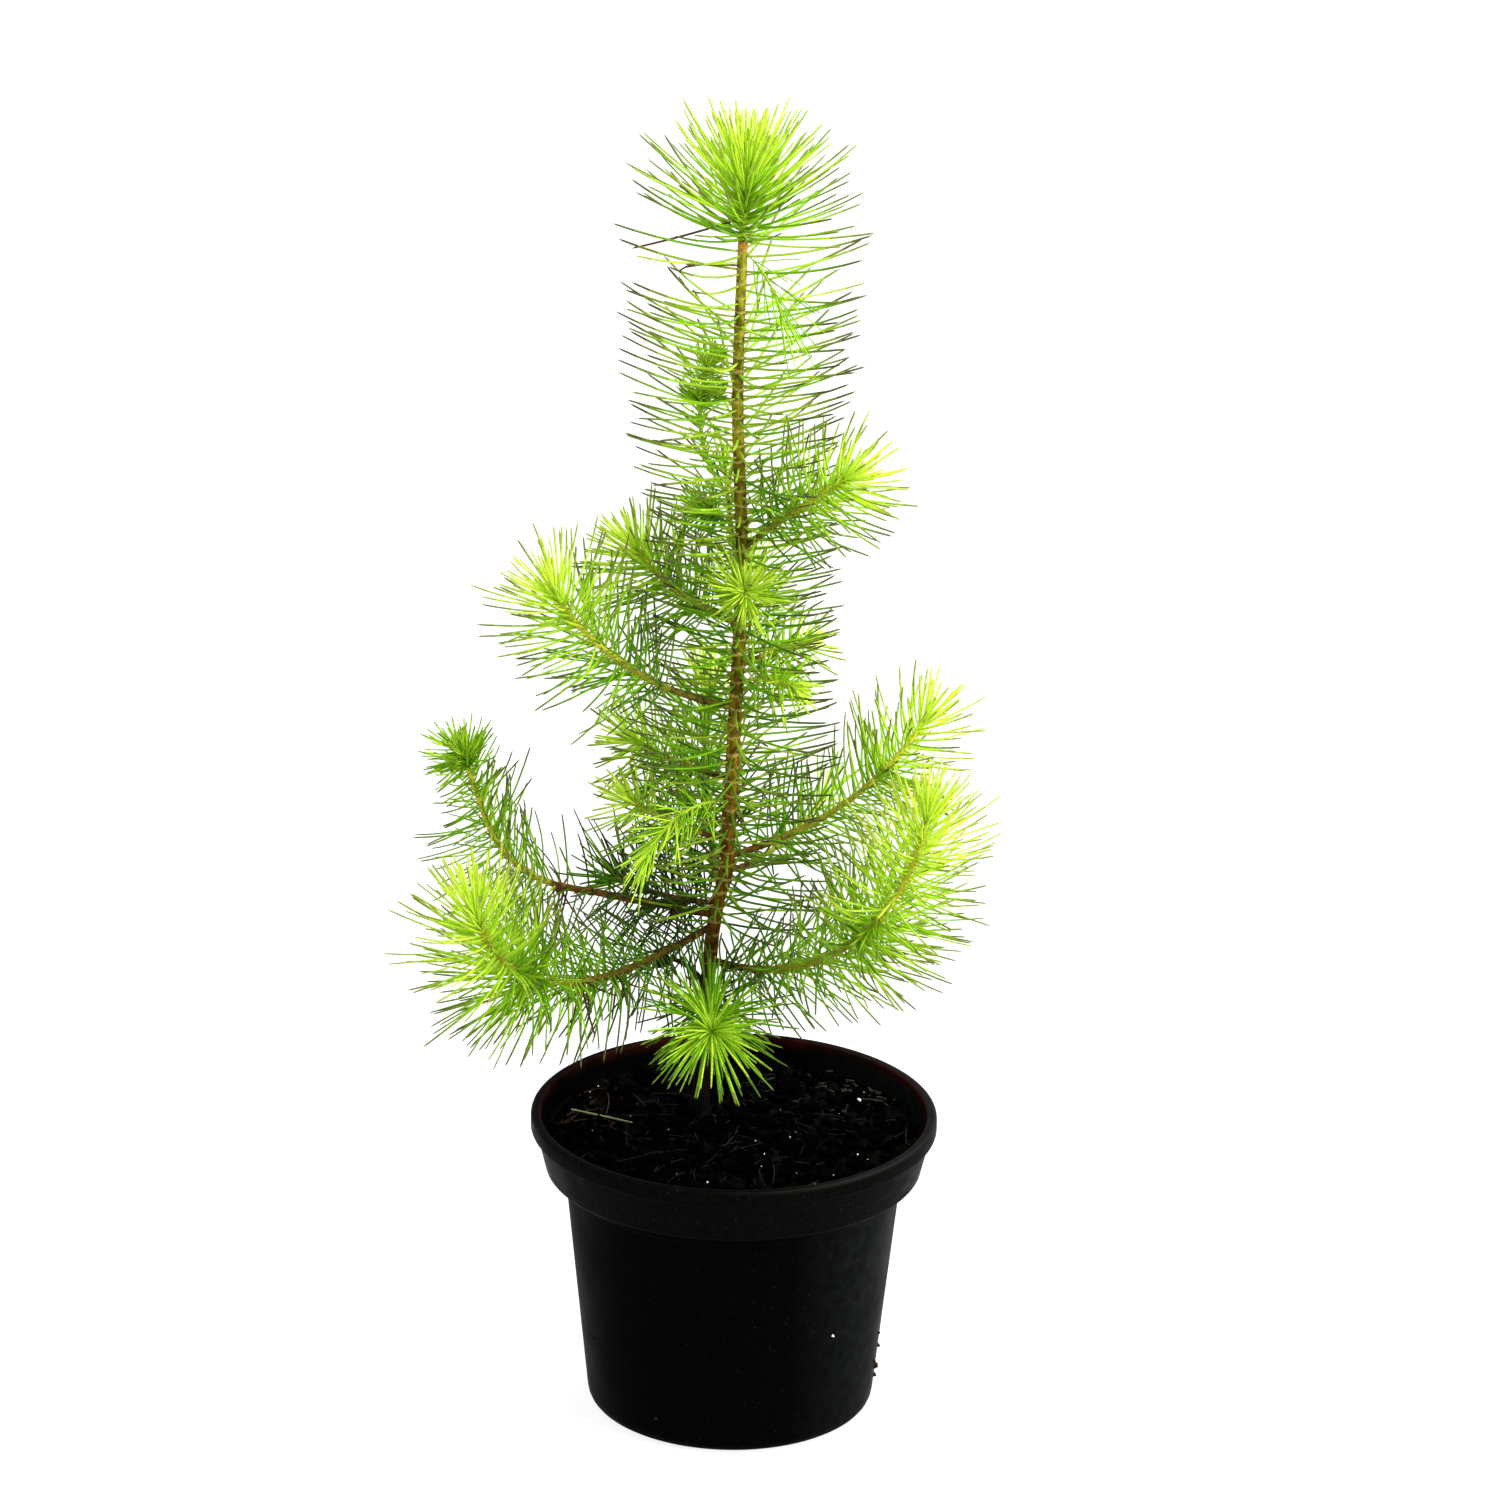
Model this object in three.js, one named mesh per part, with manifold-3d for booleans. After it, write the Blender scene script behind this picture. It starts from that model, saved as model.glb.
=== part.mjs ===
// A young stone pine in a round nursery pot.
// Units are millimetres. +Z is up, the viewer looks along +Y, and the origin is the centre of the
// pot's flat underside.
//
// The trunk stands whole from the soil to the foot of this year's shoot. Side limbs leave it at
// named heights and azimuths. Each limb is a path whose direction turns from a start elevation to
// an end elevation. The bare inner stretch of a limb is a bough. The rest carries needles and is
// one or two masses, each with a stem of its own. The needles on the trunk itself stand out of thin
// sleeves that are cut clear of it. Needle i of a stem stands at the golden angle times i round it.
import * as THREE from 'three';
import { mergeVertices } from 'three/addons/utils/BufferGeometryUtils.js';
import Module from 'manifold-3d';

const wasm = await Module();
wasm.setup();

// Gap between neighbouring pieces.
const CLEARANCE = 0.3;

// Pot: a tapering body, a shoulder, a wider collar and a small outward lip.
const POT_HEIGHT = 92;
const LIP_RADIUS = 60;
const LIP_HEIGHT = 6.5;
const LIP_OVERHANG = 2.2;
const LIP_ROUND = 1;
const COLLAR_FOOT_RADIUS = 54.8;
const COLLAR_FOOT_HEIGHT = 75;
const SHOULDER_RADIUS = 49.2;
const SHOULDER_HEIGHT = 71;
const BASE_RADIUS = 43;
const BASE_CORNER = 5;
const POT_WALL = 1.6;
const POT_FLOOR = 2;
// Height of the shoulder inside above the shoulder outside.
const SHOULDER_DROP = 1;
const POT_SIDES = 36;
const DRAIN_HOLES = 6;
const DRAIN_RADIUS = 3.5;
const DRAIN_CIRCLE = 28;
const DRAIN_SIDES = 8;

// Soil: fills the pot to a little below the lip, slightly mounded.
const SOIL_GAP = 0.4;
const SOIL_TOP = 87;
const SOIL_EDGE = 84.5;
const SOIL_MOUND_RADIUS = 24;
const SOIL_SIDES = 18;

// Trunk axis: height above the underside, then the offset to the right and to the back.
const TRUNK_AXIS = [
  [87, -10.3, 8], [127, -8.5, 6.4], [145, -7.2, 5.7], [157, -5.6, 5.2], [164, -3.7, 5],
  [171, -3, 4.7], [198, -2.1, 3.5], [239, -0.6, 2], [264, -0.1, 2], [312, -2, 2], [360, -1.2, 2],
  [382, -0.4, 2],
];
const TRUNK_FOOT = SOIL_TOP + CLEARANCE;
const TRUNK_TIP = 360;
const TRUNK_FOOT_RADIUS = 2.25;
const TRUNK_TIP_RADIUS = 1.1;
const FLARE_RADIUS = 1.6;
const FLARE_HEIGHT = 6;
const TRUNK_SIDES = 8;
const TRUNK_STEPS = 26;

// Side limbs. height: where the limb leaves the trunk. azimuth: degrees counter-clockwise from the
// right, so 90 is the back and 270 the front. rise: elevation in degrees at the start and the end.
// bend: above 1 the limb turns up late, below 1 early. bare: length of the bough. radius: of the
// limb at its root. split: lengths at which one mass ends and the next begins. needles: for each
// mass, how many and how long at the start and the end of its stem. tone: colour of each mass.
const LIMBS = [
  { name: 'low_left', height: 152, azimuth: 168, sweep: -5, rise: [-6, 88], bend: 1.5, length: 103,
    bare: 47, radius: 1.25, split: [78], needles: [[20, 23, 20], [24, 18, 11]],
    tone: ['mid', 'fresh'] },
  { name: 'low_left_twin', height: 156, azimuth: 158, sweep: 4, rise: [-8, 20], bend: 1, length: 46,
    bare: 12, radius: 0.9, split: [], needles: [[16, 21, 20]], tone: ['dark'] },
  { name: 'low_front_left', height: 149, azimuth: 212, sweep: 11, rise: [-22, 88], bend: 1.5,
    length: 111, bare: 15, radius: 1.2, split: [60], needles: [[26, 20, 24], [36, 27, 26]],
    tone: ['dark', 'bright'] },
  { name: 'low_front_right', height: 138, azimuth: 325, sweep: -2, rise: [-7, 80], bend: 0.85,
    length: 112, bare: 13, radius: 1.2, split: [58], needles: [[26, 21, 25], [36, 28, 28]],
    tone: ['mid', 'bright'] },
  { name: 'low_rear', height: 160, azimuth: 98, sweep: -8, rise: [2, 62], bend: 1.1, length: 84,
    bare: 13, radius: 1.1, split: [48], needles: [[16, 22, 24], [22, 25, 22]],
    tone: ['dark', 'mid'] },
  { name: 'low_rear_right', height: 166, azimuth: 52, sweep: 4, rise: [-8, 30], bend: 1, length: 52,
    bare: 11, radius: 0.95, split: [], needles: [[22, 22, 22]], tone: ['dark'] },
  { name: 'right', height: 171, azimuth: 6, sweep: 0, rise: [14, 65], bend: 1.1, length: 76,
    bare: 13, radius: 1.1, split: [46], needles: [[20, 23, 24], [22, 25, 19]],
    tone: ['mid', 'bright'] },
  { name: 'left_side', height: 176, azimuth: 186, sweep: 0, rise: [15, 34], bend: 1, length: 33,
    bare: 9, radius: 0.8, split: [], needles: [[12, 18, 14]], tone: ['mid'] },
  { name: 'left_rear', height: 195, azimuth: 150, sweep: 0, rise: [6, 14], bend: 1, length: 36,
    bare: 9, radius: 0.8, split: [], needles: [[14, 18, 15]], tone: ['mid'] },
  { name: 'mid_left', height: 218, azimuth: 195, sweep: 0, rise: [17, 62], bend: 1.1, length: 74,
    bare: 24, radius: 1.05, split: [46], needles: [[14, 22, 24], [28, 24, 20]],
    tone: ['mid', 'bright'] },
  { name: 'mid_rear', height: 222, azimuth: 84, sweep: 6, rise: [8, 55], bend: 1, length: 50,
    bare: 10, radius: 0.95, split: [], needles: [[22, 22, 20]], tone: ['mid'] },
  { name: 'mid_right', height: 231, azimuth: 32, sweep: 0, rise: [18, 14], bend: 1, length: 27,
    bare: 8, radius: 0.8, split: [], needles: [[12, 16, 13]], tone: ['mid'] },
  { name: 'upper_rear', height: 258, azimuth: 104, sweep: -8, rise: [22, 62], bend: 1, length: 40,
    bare: 9, radius: 0.9, split: [], needles: [[20, 20, 17]], tone: ['fresh'] },
  { name: 'upper_left', height: 245, azimuth: 160, sweep: 0, rise: [19, 65], bend: 1.2, length: 45,
    bare: 9, radius: 0.95, split: [], needles: [[22, 22, 18]], tone: ['fresh'] },
  { name: 'upper_right', height: 267, azimuth: 340, sweep: 0, rise: [43, 40], bend: 1, length: 51,
    bare: 9, radius: 0.95, split: [], needles: [[26, 21, 22]], tone: ['bright'] },
];

// Short shoots: each is one mass whose stem meets the trunk.
const SHOOTS = [
  { name: 'front_low', height: 129, azimuth: 272, rise: [-4, 16], length: 46,
    needles: [34, 18, 22], tone: 'bright' },
  { name: 'front_left_loose', height: 188, azimuth: 235, rise: [20, -35], length: 44,
    needles: [16, 15, 14], tone: 'bright' },
  { name: 'right_small', height: 226, azimuth: 330, rise: [25, -12], length: 22,
    needles: [12, 14, 12], tone: 'fresh' },
  { name: 'front_mid', height: 252, azimuth: 275, rise: [20, 36], length: 15,
    needles: [20, 13, 15], tone: 'bright' },
  { name: 'rear_left_upper', height: 288, azimuth: 130, rise: [-20, 85], length: 33,
    needles: [16, 12, 10], tone: 'dark' },
  { name: 'left_upper_small', height: 276, azimuth: 160, rise: [4, 10], length: 14,
    needles: [8, 11, 11], tone: 'mid' },
  { name: 'top_drooping', height: 357, azimuth: 300, rise: [26, -70], length: 33,
    needles: [16, 11, 12], tone: 'bright' },
];

// A short dead shoot that ends in a black bud.
const DEAD_STUB = { name: 'dead_stub', height: 128, azimuth: 200, rise: [60, 6], bend: 1.5,
  length: 17, radius: 0.9, budRadius: 2.2 };

// This year's shoot above the trunk's tip.
const LEADER = { name: 'mass_leader', length: 15, opening: [80, 14], needles: [42, 35, 24] };

// Trunk needles: sleeves stacked from the lowest side limbs to the foot of the leader.
const SLEEVE_START = 150;
const SLEEVE_COUNT = 6;
const SLEEVE_WALL = 0.9;
const SLEEVE_MARGIN = 1.5;
const SLEEVE_STEPS = 2;
const SLEEVE_NEEDLES = 34;
const SLEEVE_REACH = 34;

// Needles: three-sided points, a little thicker than life because they are fewer.
const NEEDLE_RADIUS = 0.9;
const GOLDEN_ANGLE = Math.PI * (3 - Math.sqrt(5));
const LENGTH_JITTER = 0.14;
const ANGLE_JITTER = 0.35;
const OPENING_AT_START = 74;
const OPENING_AT_END = 16;
const TRUNK_OPENING = 80;
const TRIM_STEPS = [1, 0.86, 0.72];
const LOWEST_NEEDLE = POT_HEIGHT + 2;
// How far a needle's tip may pass into the space of the next stem.
const INTERLEAVE = 10;

// Stems of the masses, with the needle bases that thicken a young shoot.
const STEM_START_RADIUS = 1.7;
const STEM_END_RADIUS = 1.2;
const STEM_SIDES = 4;

const LIMB_SIDES = 6;
const LIMB_STEP = 10;
const CUTTER_SIDES = 4;
const PATH_STEPS = 48;
const LIMB_TIP_SHARE = 0.55;
// Length of a limb's root: a sleeve is cut clear of it, and it bears no needles.
const ROOT_LENGTH = 6;

const COLOURS = {
  pot: 0x1b1d1b, soil: 0x14110d, bark: 0x6b4423, bough: 0x6a4a20, stub: 0x2b1a12,
  bright: 0x9bd41c, fresh: 0x7cb82a, mid: 0x4c8a2c, dark: 0x2c5a2a,
};

const root = new THREE.Group();
const degrees = THREE.MathUtils.degToRad;
const mix = THREE.MathUtils.lerp;

// Repeatable value from -1 to 1 for a seed.
function jitter(seed) {
  const wave = Math.sin(seed * 12.9898 + 4.1414) * 43758.5453;
  return 2 * (wave - Math.floor(wave)) - 1;
}

// Closed mesh to solid, joined at its shared corners.
function solidOf(geometry) {
  geometry.deleteAttribute('normal');
  geometry.deleteAttribute('uv');
  const merged = mergeVertices(geometry, 1e-5);
  return new wasm.Manifold(new wasm.Mesh({
    numProp: 3,
    vertProperties: new Float32Array(merged.attributes.position.array),
    triVerts: new Uint32Array(merged.index.array),
  }));
}

// Solid to a named mesh with its own material.
function addMesh(name, solid, colour, roughness = 0.6) {
  const data = solid.getMesh();
  const geometry = new THREE.BufferGeometry();
  geometry.setAttribute('position', new THREE.BufferAttribute(data.vertProperties, 3));
  geometry.setIndex(new THREE.BufferAttribute(data.triVerts, 1));
  geometry.computeVertexNormals();
  const material = new THREE.MeshStandardMaterial({ color: colour, roughness, metalness: 0 });
  const mesh = new THREE.Mesh(geometry, material);
  mesh.name = name;
  root.add(mesh);
}

function lathe(profile, sides) {
  const geometry = new THREE.LatheGeometry(profile, sides);
  geometry.rotateX(Math.PI / 2);
  return solidOf(geometry);
}

// Pot and soil

function potProfile() {
  const innerBase = BASE_RADIUS - POT_WALL;
  const lipFoot = POT_HEIGHT - LIP_HEIGHT;
  const collarTop = LIP_RADIUS - LIP_OVERHANG;
  const path = new THREE.Path();
  path.moveTo(0, 0);
  path.lineTo(BASE_RADIUS - BASE_CORNER, 0);
  path.quadraticCurveTo(BASE_RADIUS, 0, BASE_RADIUS, BASE_CORNER);
  path.lineTo(SHOULDER_RADIUS, SHOULDER_HEIGHT);
  path.lineTo(COLLAR_FOOT_RADIUS, COLLAR_FOOT_HEIGHT);
  path.lineTo(collarTop, lipFoot);
  path.lineTo(LIP_RADIUS, lipFoot + LIP_ROUND);
  path.lineTo(LIP_RADIUS, POT_HEIGHT - LIP_ROUND);
  path.lineTo(LIP_RADIUS - LIP_ROUND, POT_HEIGHT);
  path.lineTo(collarTop - POT_WALL / 2, POT_HEIGHT);
  path.lineTo(collarTop - POT_WALL, lipFoot);
  path.lineTo(COLLAR_FOOT_RADIUS - POT_WALL, COLLAR_FOOT_HEIGHT + SHOULDER_DROP);
  path.lineTo(SHOULDER_RADIUS - POT_WALL, SHOULDER_HEIGHT + SHOULDER_DROP);
  path.lineTo(innerBase, BASE_CORNER + POT_FLOOR / 2);
  path.lineTo(innerBase - BASE_CORNER, POT_FLOOR);
  path.lineTo(0, POT_FLOOR);
  return path.getPoints(2);
}

function makePot() {
  let pot = lathe(potProfile(), POT_SIDES);
  for (let i = 0; i < DRAIN_HOLES; i += 1) {
    const angle = (i * 2 * Math.PI) / DRAIN_HOLES;
    const drill = new THREE.CylinderGeometry(DRAIN_RADIUS, DRAIN_RADIUS, 4 * POT_FLOOR, DRAIN_SIDES);
    drill.rotateX(Math.PI / 2);
    drill.translate(DRAIN_CIRCLE * Math.cos(angle), DRAIN_CIRCLE * Math.sin(angle), 0);
    pot = pot.subtract(solidOf(drill));
  }
  addMesh('pot', pot, COLOURS.pot, 0.45);
}

function makeSoil() {
  const inset = POT_WALL + SOIL_GAP;
  const innerBase = BASE_RADIUS - inset;
  const collarSlope = (LIP_RADIUS - LIP_OVERHANG - COLLAR_FOOT_RADIUS)
    / (POT_HEIGHT - LIP_HEIGHT - COLLAR_FOOT_HEIGHT);
  const edgeRadius = COLLAR_FOOT_RADIUS + collarSlope * (SOIL_EDGE - COLLAR_FOOT_HEIGHT) - inset;
  const step = SHOULDER_DROP + SOIL_GAP;
  const profile = [
    [0, POT_FLOOR + CLEARANCE],
    [innerBase - BASE_CORNER, POT_FLOOR + CLEARANCE],
    [innerBase, BASE_CORNER + step],
    [SHOULDER_RADIUS - inset, SHOULDER_HEIGHT + step],
    [COLLAR_FOOT_RADIUS - inset, COLLAR_FOOT_HEIGHT + step],
    [edgeRadius - SOIL_GAP, SOIL_EDGE],
    [SOIL_MOUND_RADIUS, SOIL_TOP],
    [0, SOIL_TOP],
  ];
  addMesh('soil', lathe(profile.map(([r, z]) => new THREE.Vector2(r, z)), SOIL_SIDES),
    COLOURS.soil, 0.95);
}

// Paths

// Trunk axis at a height, on cubic spans with central slopes between the listed stations.
function trunkPoint(height) {
  const last = TRUNK_AXIS.length - 2;
  let span = 0;
  while (span < last && TRUNK_AXIS[span + 1][0] < height) span += 1;
  const [below, above] = [TRUNK_AXIS[span], TRUNK_AXIS[span + 1]];
  const rise = above[0] - below[0];
  const share = (height - below[0]) / rise;
  const slope = (index, column) => {
    const before = TRUNK_AXIS[Math.max(index - 1, 0)];
    const after = TRUNK_AXIS[Math.min(index + 1, TRUNK_AXIS.length - 1)];
    return (after[column] - before[column]) / (after[0] - before[0]);
  };
  const offset = (column) => {
    const [s2, s3] = [share ** 2, share ** 3];
    return (2 * s3 - 3 * s2 + 1) * below[column] + (s3 - 2 * s2 + share) * rise * slope(span, column)
      + (3 * s2 - 2 * s3) * above[column] + (s3 - s2) * rise * slope(span + 1, column);
  };
  return new THREE.Vector3(offset(1), offset(2), height);
}

function trunkRadius(height) {
  const share = (height - TRUNK_FOOT) / (TRUNK_TIP - TRUNK_FOOT);
  const flare = FLARE_RADIUS * Math.exp(-(height - TRUNK_FOOT) / FLARE_HEIGHT);
  return mix(TRUNK_FOOT_RADIUS, TRUNK_TIP_RADIUS, share) + flare;
}

// A stretch of the trunk's axis as a path: frameAt(0) is at the low end, frameAt(1) at the high end.
function trunkPath(low, high) {
  return {
    length: high - low,
    frameAt(share) {
      const height = mix(low, high, share);
      const point = trunkPoint(height);
      const along = trunkPoint(height + 1).sub(trunkPoint(height - 1)).normalize();
      const side = new THREE.Vector3(1, 0, 0).addScaledVector(along, -along.x).normalize();
      return { point, along, side, across: side.clone().cross(along) };
    },
  };
}

// Path of a side limb from the trunk's axis. Its elevation goes from the first to the second value
// of rise as the share of its length to the power bend, and its azimuth turns by sweep.
function limbPath({ height, azimuth, sweep = 0, rise, bend = 1, length }) {
  const heading = (share) => {
    const turn = degrees(azimuth + sweep * share);
    const climb = degrees(mix(rise[0], rise[1], share ** bend));
    return {
      along: new THREE.Vector3(Math.cos(climb) * Math.cos(turn), Math.cos(climb) * Math.sin(turn),
        Math.sin(climb)),
      side: new THREE.Vector3(-Math.sin(turn), Math.cos(turn), 0),
    };
  };
  const points = [trunkPoint(height)];
  for (let i = 0; i < PATH_STEPS; i += 1) {
    const { along } = heading((i + 0.5) / PATH_STEPS);
    points.push(points[i].clone().addScaledVector(along, length / PATH_STEPS));
  }
  return {
    length,
    frameAt(share) {
      const place = Math.min(Math.max(share, 0), 1) * PATH_STEPS;
      const index = Math.min(Math.floor(place), PATH_STEPS - 1);
      const point = points[index].clone().lerp(points[index + 1], place - index);
      const { along, side } = heading(share);
      return { point, along, side, across: side.clone().cross(along) };
    },
  };
}

// Part of a path between two lengths along it.
function stretch(path, from, to) {
  return {
    length: to - from,
    frameAt: (share) => path.frameAt(mix(from, to, share) / path.length),
  };
}

// Tapering solid along a path: a closed cylinder whose rings are moved onto the path.
function taper(path, radiusAt, sides, steps) {
  const geometry = new THREE.CylinderGeometry(1, 1, 1, sides, steps);
  const { position } = geometry.attributes;
  for (let i = 0; i < position.count; i += 1) {
    const share = position.getY(i) + 0.5;
    const { point, side, across } = path.frameAt(share);
    point.addScaledVector(side, position.getX(i) * radiusAt(share));
    point.addScaledVector(across, position.getZ(i) * radiusAt(share));
    position.setXYZ(i, point.x, point.y, point.z);
  }
  return solidOf(geometry);
}

// Obstacles and spaces

// Every stretch of trunk, bough and stem as short straight pieces with a radius. owner is the node
// that it belongs to. Two spaces meet where both stems are equally near, and a needle's tip passes
// that border by no more than INTERLEAVE. The trunk's axis counts as the stem of its sleeves.
// Boughs and the stub have no space.
const obstacles = [];
const placedNeedles = [];
const closest = new THREE.Vector3();

function addObstacle(owner, path, radiusAt, hasSpace) {
  const pieces = Math.max(2, Math.ceil(path.length / LIMB_STEP));
  for (let i = 0; i < pieces; i += 1) {
    const [from, to] = [i / pieces, (i + 1) / pieces];
    const line = new THREE.Line3(path.frameAt(from).point, path.frameAt(to).point);
    obstacles.push({ owner, line, radius: radiusAt((from + to) / 2), hasSpace });
  }
}

function stemDistance(point, belongs) {
  let least = Infinity;
  for (const piece of obstacles) {
    if (piece.hasSpace && belongs(piece)) {
      piece.line.closestPointToPoint(point, true, closest);
      least = Math.min(least, closest.distanceTo(point));
    }
  }
  return least;
}

const family = (owner) => (owner.startsWith('mass_trunk') ? 'trunk' : owner);

function needleFits(owner, line) {
  if (Math.min(line.start.z, line.end.z) < LOWEST_NEEDLE) return false;
  const own = family(owner);
  for (const share of [0.5, 1]) {
    const point = line.at(share, new THREE.Vector3());
    const mine = stemDistance(point, (piece) => family(piece.owner) === own);
    const other = stemDistance(point, (piece) => family(piece.owner) !== own);
    if (other < mine - INTERLEAVE) return false;
  }
  const blocked = (piece, radius) => {
    const gap = NEEDLE_RADIUS + radius + CLEARANCE;
    return piece.owner !== owner && piece.line.distanceSqToLine3(line) < gap ** 2;
  };
  if (obstacles.some((piece) => family(piece.owner) !== own && blocked(piece, piece.radius))) {
    return false;
  }
  return !placedNeedles.some((piece) => blocked(piece, NEEDLE_RADIUS));
}

// Needles

// Three-sided needle that tapers from its root to a point.
function needleSolid({ start, end }) {
  const length = start.distanceTo(end);
  const geometry = new THREE.ConeGeometry(NEEDLE_RADIUS, length, 3);
  geometry.translate(0, length / 2, 0);
  const along = end.clone().sub(start).normalize();
  geometry.applyQuaternion(
    new THREE.Quaternion().setFromUnitVectors(new THREE.Vector3(0, 1, 0), along));
  geometry.translate(start.x, start.y, start.z);
  return solidOf(geometry);
}

// Needles of one stem. Needle i stands at the golden angle times i round it. opening gives its
// angle from the stem and reachAt its length, both by its share of the way along.
function growNeedles({ owner, path, count, opening, reachAt, rootAt, seed }) {
  const lines = [];
  for (let i = 0; i < count; i += 1) {
    const share = (i + 0.5) / count;
    const { point, along, side, across } = path.frameAt(share);
    const turn = i * GOLDEN_ANGLE + ANGLE_JITTER * jitter(seed + i);
    const lean = degrees(opening(share)) * (1 + 0.12 * jitter(seed + i + 0.31));
    const outward = side.clone().multiplyScalar(Math.cos(turn)).addScaledVector(across, Math.sin(turn));
    const heading = along.clone().multiplyScalar(Math.cos(lean))
      .addScaledVector(outward, Math.sin(lean));
    const reach = reachAt(share) * (1 + LENGTH_JITTER * jitter(seed + i + 0.67));
    const start = point.clone().addScaledVector(outward, rootAt(share));
    for (const trim of TRIM_STEPS) {
      const line = new THREE.Line3(start, start.clone().addScaledVector(heading, reach * trim));
      if (needleFits(owner, line)) {
        lines.push(line);
        break;
      }
    }
  }
  lines.forEach((line) => placedNeedles.push({ owner, line }));
  return lines;
}

// Opening of the needles on a side shoot: wide along it, closing to a tuft at its tip.
const shootOpening = (share) => mix(OPENING_AT_START, OPENING_AT_END, share ** 3);

// Plant

const trunkAll = trunkPath(TRUNK_FOOT, TRUNK_TIP);
const trunkShareRadius = (share) => trunkRadius(mix(TRUNK_FOOT, TRUNK_TIP, share));
const clearOfTrunk = taper(trunkPath(TRUNK_FOOT, TRUNK_TIP + 1),
  (share) => trunkRadius(mix(TRUNK_FOOT, TRUNK_TIP + 1, share)) + CLEARANCE,
  TRUNK_SIDES, TRUNK_STEPS);

const boughs = [];
const masses = [];

function planLimb(limb, seed) {
  const path = limbPath(limb);
  const radiusAlong = (distance) => limb.radius * mix(1, LIMB_TIP_SHARE, distance / limb.length);
  const bough = stretch(path, 0, limb.bare);
  const boughRadius = (share) => radiusAlong(share * limb.bare);
  boughs.push({ name: `bough_${limb.name}`, path: bough, radiusAt: boughRadius });
  const ends = [...limb.split, limb.length];
  let from = limb.bare + CLEARANCE;
  ends.forEach((to, index) => {
    const start = from;
    const [count, firstReach, lastReach] = limb.needles[index];
    const place = ['inner', 'outer'][index];
    masses.push({
      name: ends.length > 1 ? `mass_${limb.name}_${place}` : `mass_${limb.name}`,
      path: stretch(path, start, to),
      green: stretch(path, start, to),
      tuft: index === ends.length - 1,
      count, firstReach, lastReach, tone: limb.tone[index], seed: seed + 40 * index,
    });
    from = to + CLEARANCE;
  });
}

// Length from the trunk's axis at which a stem's square end is clear of the bark.
function clearStart({ height, rise }) {
  const climb = Math.abs(degrees(rise[0]));
  return (trunkRadius(height) + CLEARANCE + STEM_START_RADIUS * Math.sin(climb)) / Math.cos(climb);
}

function planShoot(shoot, seed) {
  const whole = limbPath(shoot);
  const path = stretch(whole, clearStart(shoot), whole.length);
  const [count, firstReach, lastReach] = shoot.needles;
  masses.push({
    name: `mass_${shoot.name}`, path, tuft: true, root: stretch(whole, 0, ROOT_LENGTH),
    green: stretch(whole, ROOT_LENGTH, whole.length),
    count, firstReach, lastReach, tone: shoot.tone, seed,
  });
}

LIMBS.forEach((limb, index) => planLimb(limb, 100 * (index + 1)));
SHOOTS.forEach((shoot, index) => planShoot(shoot, 100 * (index + 40)));

function makeTrunk() {
  addMesh('trunk', taper(trunkAll, trunkShareRadius, TRUNK_SIDES, TRUNK_STEPS), COLOURS.bark, 0.8);
}

const stemRadius = (share) => mix(STEM_START_RADIUS, STEM_END_RADIUS, share);
const stepsFor = (path) => Math.max(2, Math.round(path.length / LIMB_STEP));

function makeBoughs() {
  for (const { name, path, radiusAt } of boughs) {
    const solid = taper(path, radiusAt, LIMB_SIDES, stepsFor(path)).subtract(clearOfTrunk);
    addMesh(name, solid, COLOURS.bough, 0.8);
  }
}

// Roots of the limbs, each a little thicker, that the sleeves are cut clear of.
function limbRoots() {
  const roots = boughs.map(({ path, radiusAt }) => [stretch(path, 0, ROOT_LENGTH), radiusAt(0)]);
  masses.filter(({ root }) => root).forEach(({ root }) => roots.push([root, STEM_START_RADIUS]));
  const corner = 1 / Math.cos(Math.PI / CUTTER_SIDES);
  return roots.map(([path, radius]) => (
    taper(path, () => (radius + CLEARANCE) * corner, CUTTER_SIDES, 1)));
}

function makeDeadStub() {
  const path = limbPath(DEAD_STUB);
  const radiusAt = (share) => DEAD_STUB.radius * mix(1, LIMB_TIP_SHARE, share);
  const bud = new THREE.IcosahedronGeometry(DEAD_STUB.budRadius, 0);
  const { point } = path.frameAt(1);
  bud.translate(point.x, point.y, point.z);
  const solid = taper(path, radiusAt, LIMB_SIDES, 3).add(solidOf(bud)).subtract(clearOfTrunk);
  addMesh(DEAD_STUB.name, solid, COLOURS.stub, 0.9);
  addObstacle(DEAD_STUB.name, path, () => DEAD_STUB.budRadius, false);
}

function registerObstacles() {
  addObstacle('mass_trunk', trunkAll, (share) => trunkShareRadius(share) + SLEEVE_WALL + CLEARANCE,
    true);
  boughs.forEach(({ name, path, radiusAt }) => addObstacle(name, path, radiusAt, false));
  masses.forEach(({ name, path }) => addObstacle(name, path, stemRadius, true));
}

function makeMasses() {
  for (const mass of masses) {
    const { name, path, green, count, firstReach, lastReach, tuft, tone, seed } = mass;
    const needles = growNeedles({
      owner: name, path: green, count, seed,
      opening: tuft ? shootOpening : () => OPENING_AT_START,
      reachAt: (share) => mix(firstReach, lastReach, share),
      rootAt: () => 0,
    });
    let solid = taper(path, stemRadius, STEM_SIDES, stepsFor(path));
    needles.forEach((line) => { solid = solid.add(needleSolid(line)); });
    if (mass.root) solid = solid.subtract(clearOfTrunk);
    addMesh(name, solid, COLOURS[tone]);
  }
}

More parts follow.
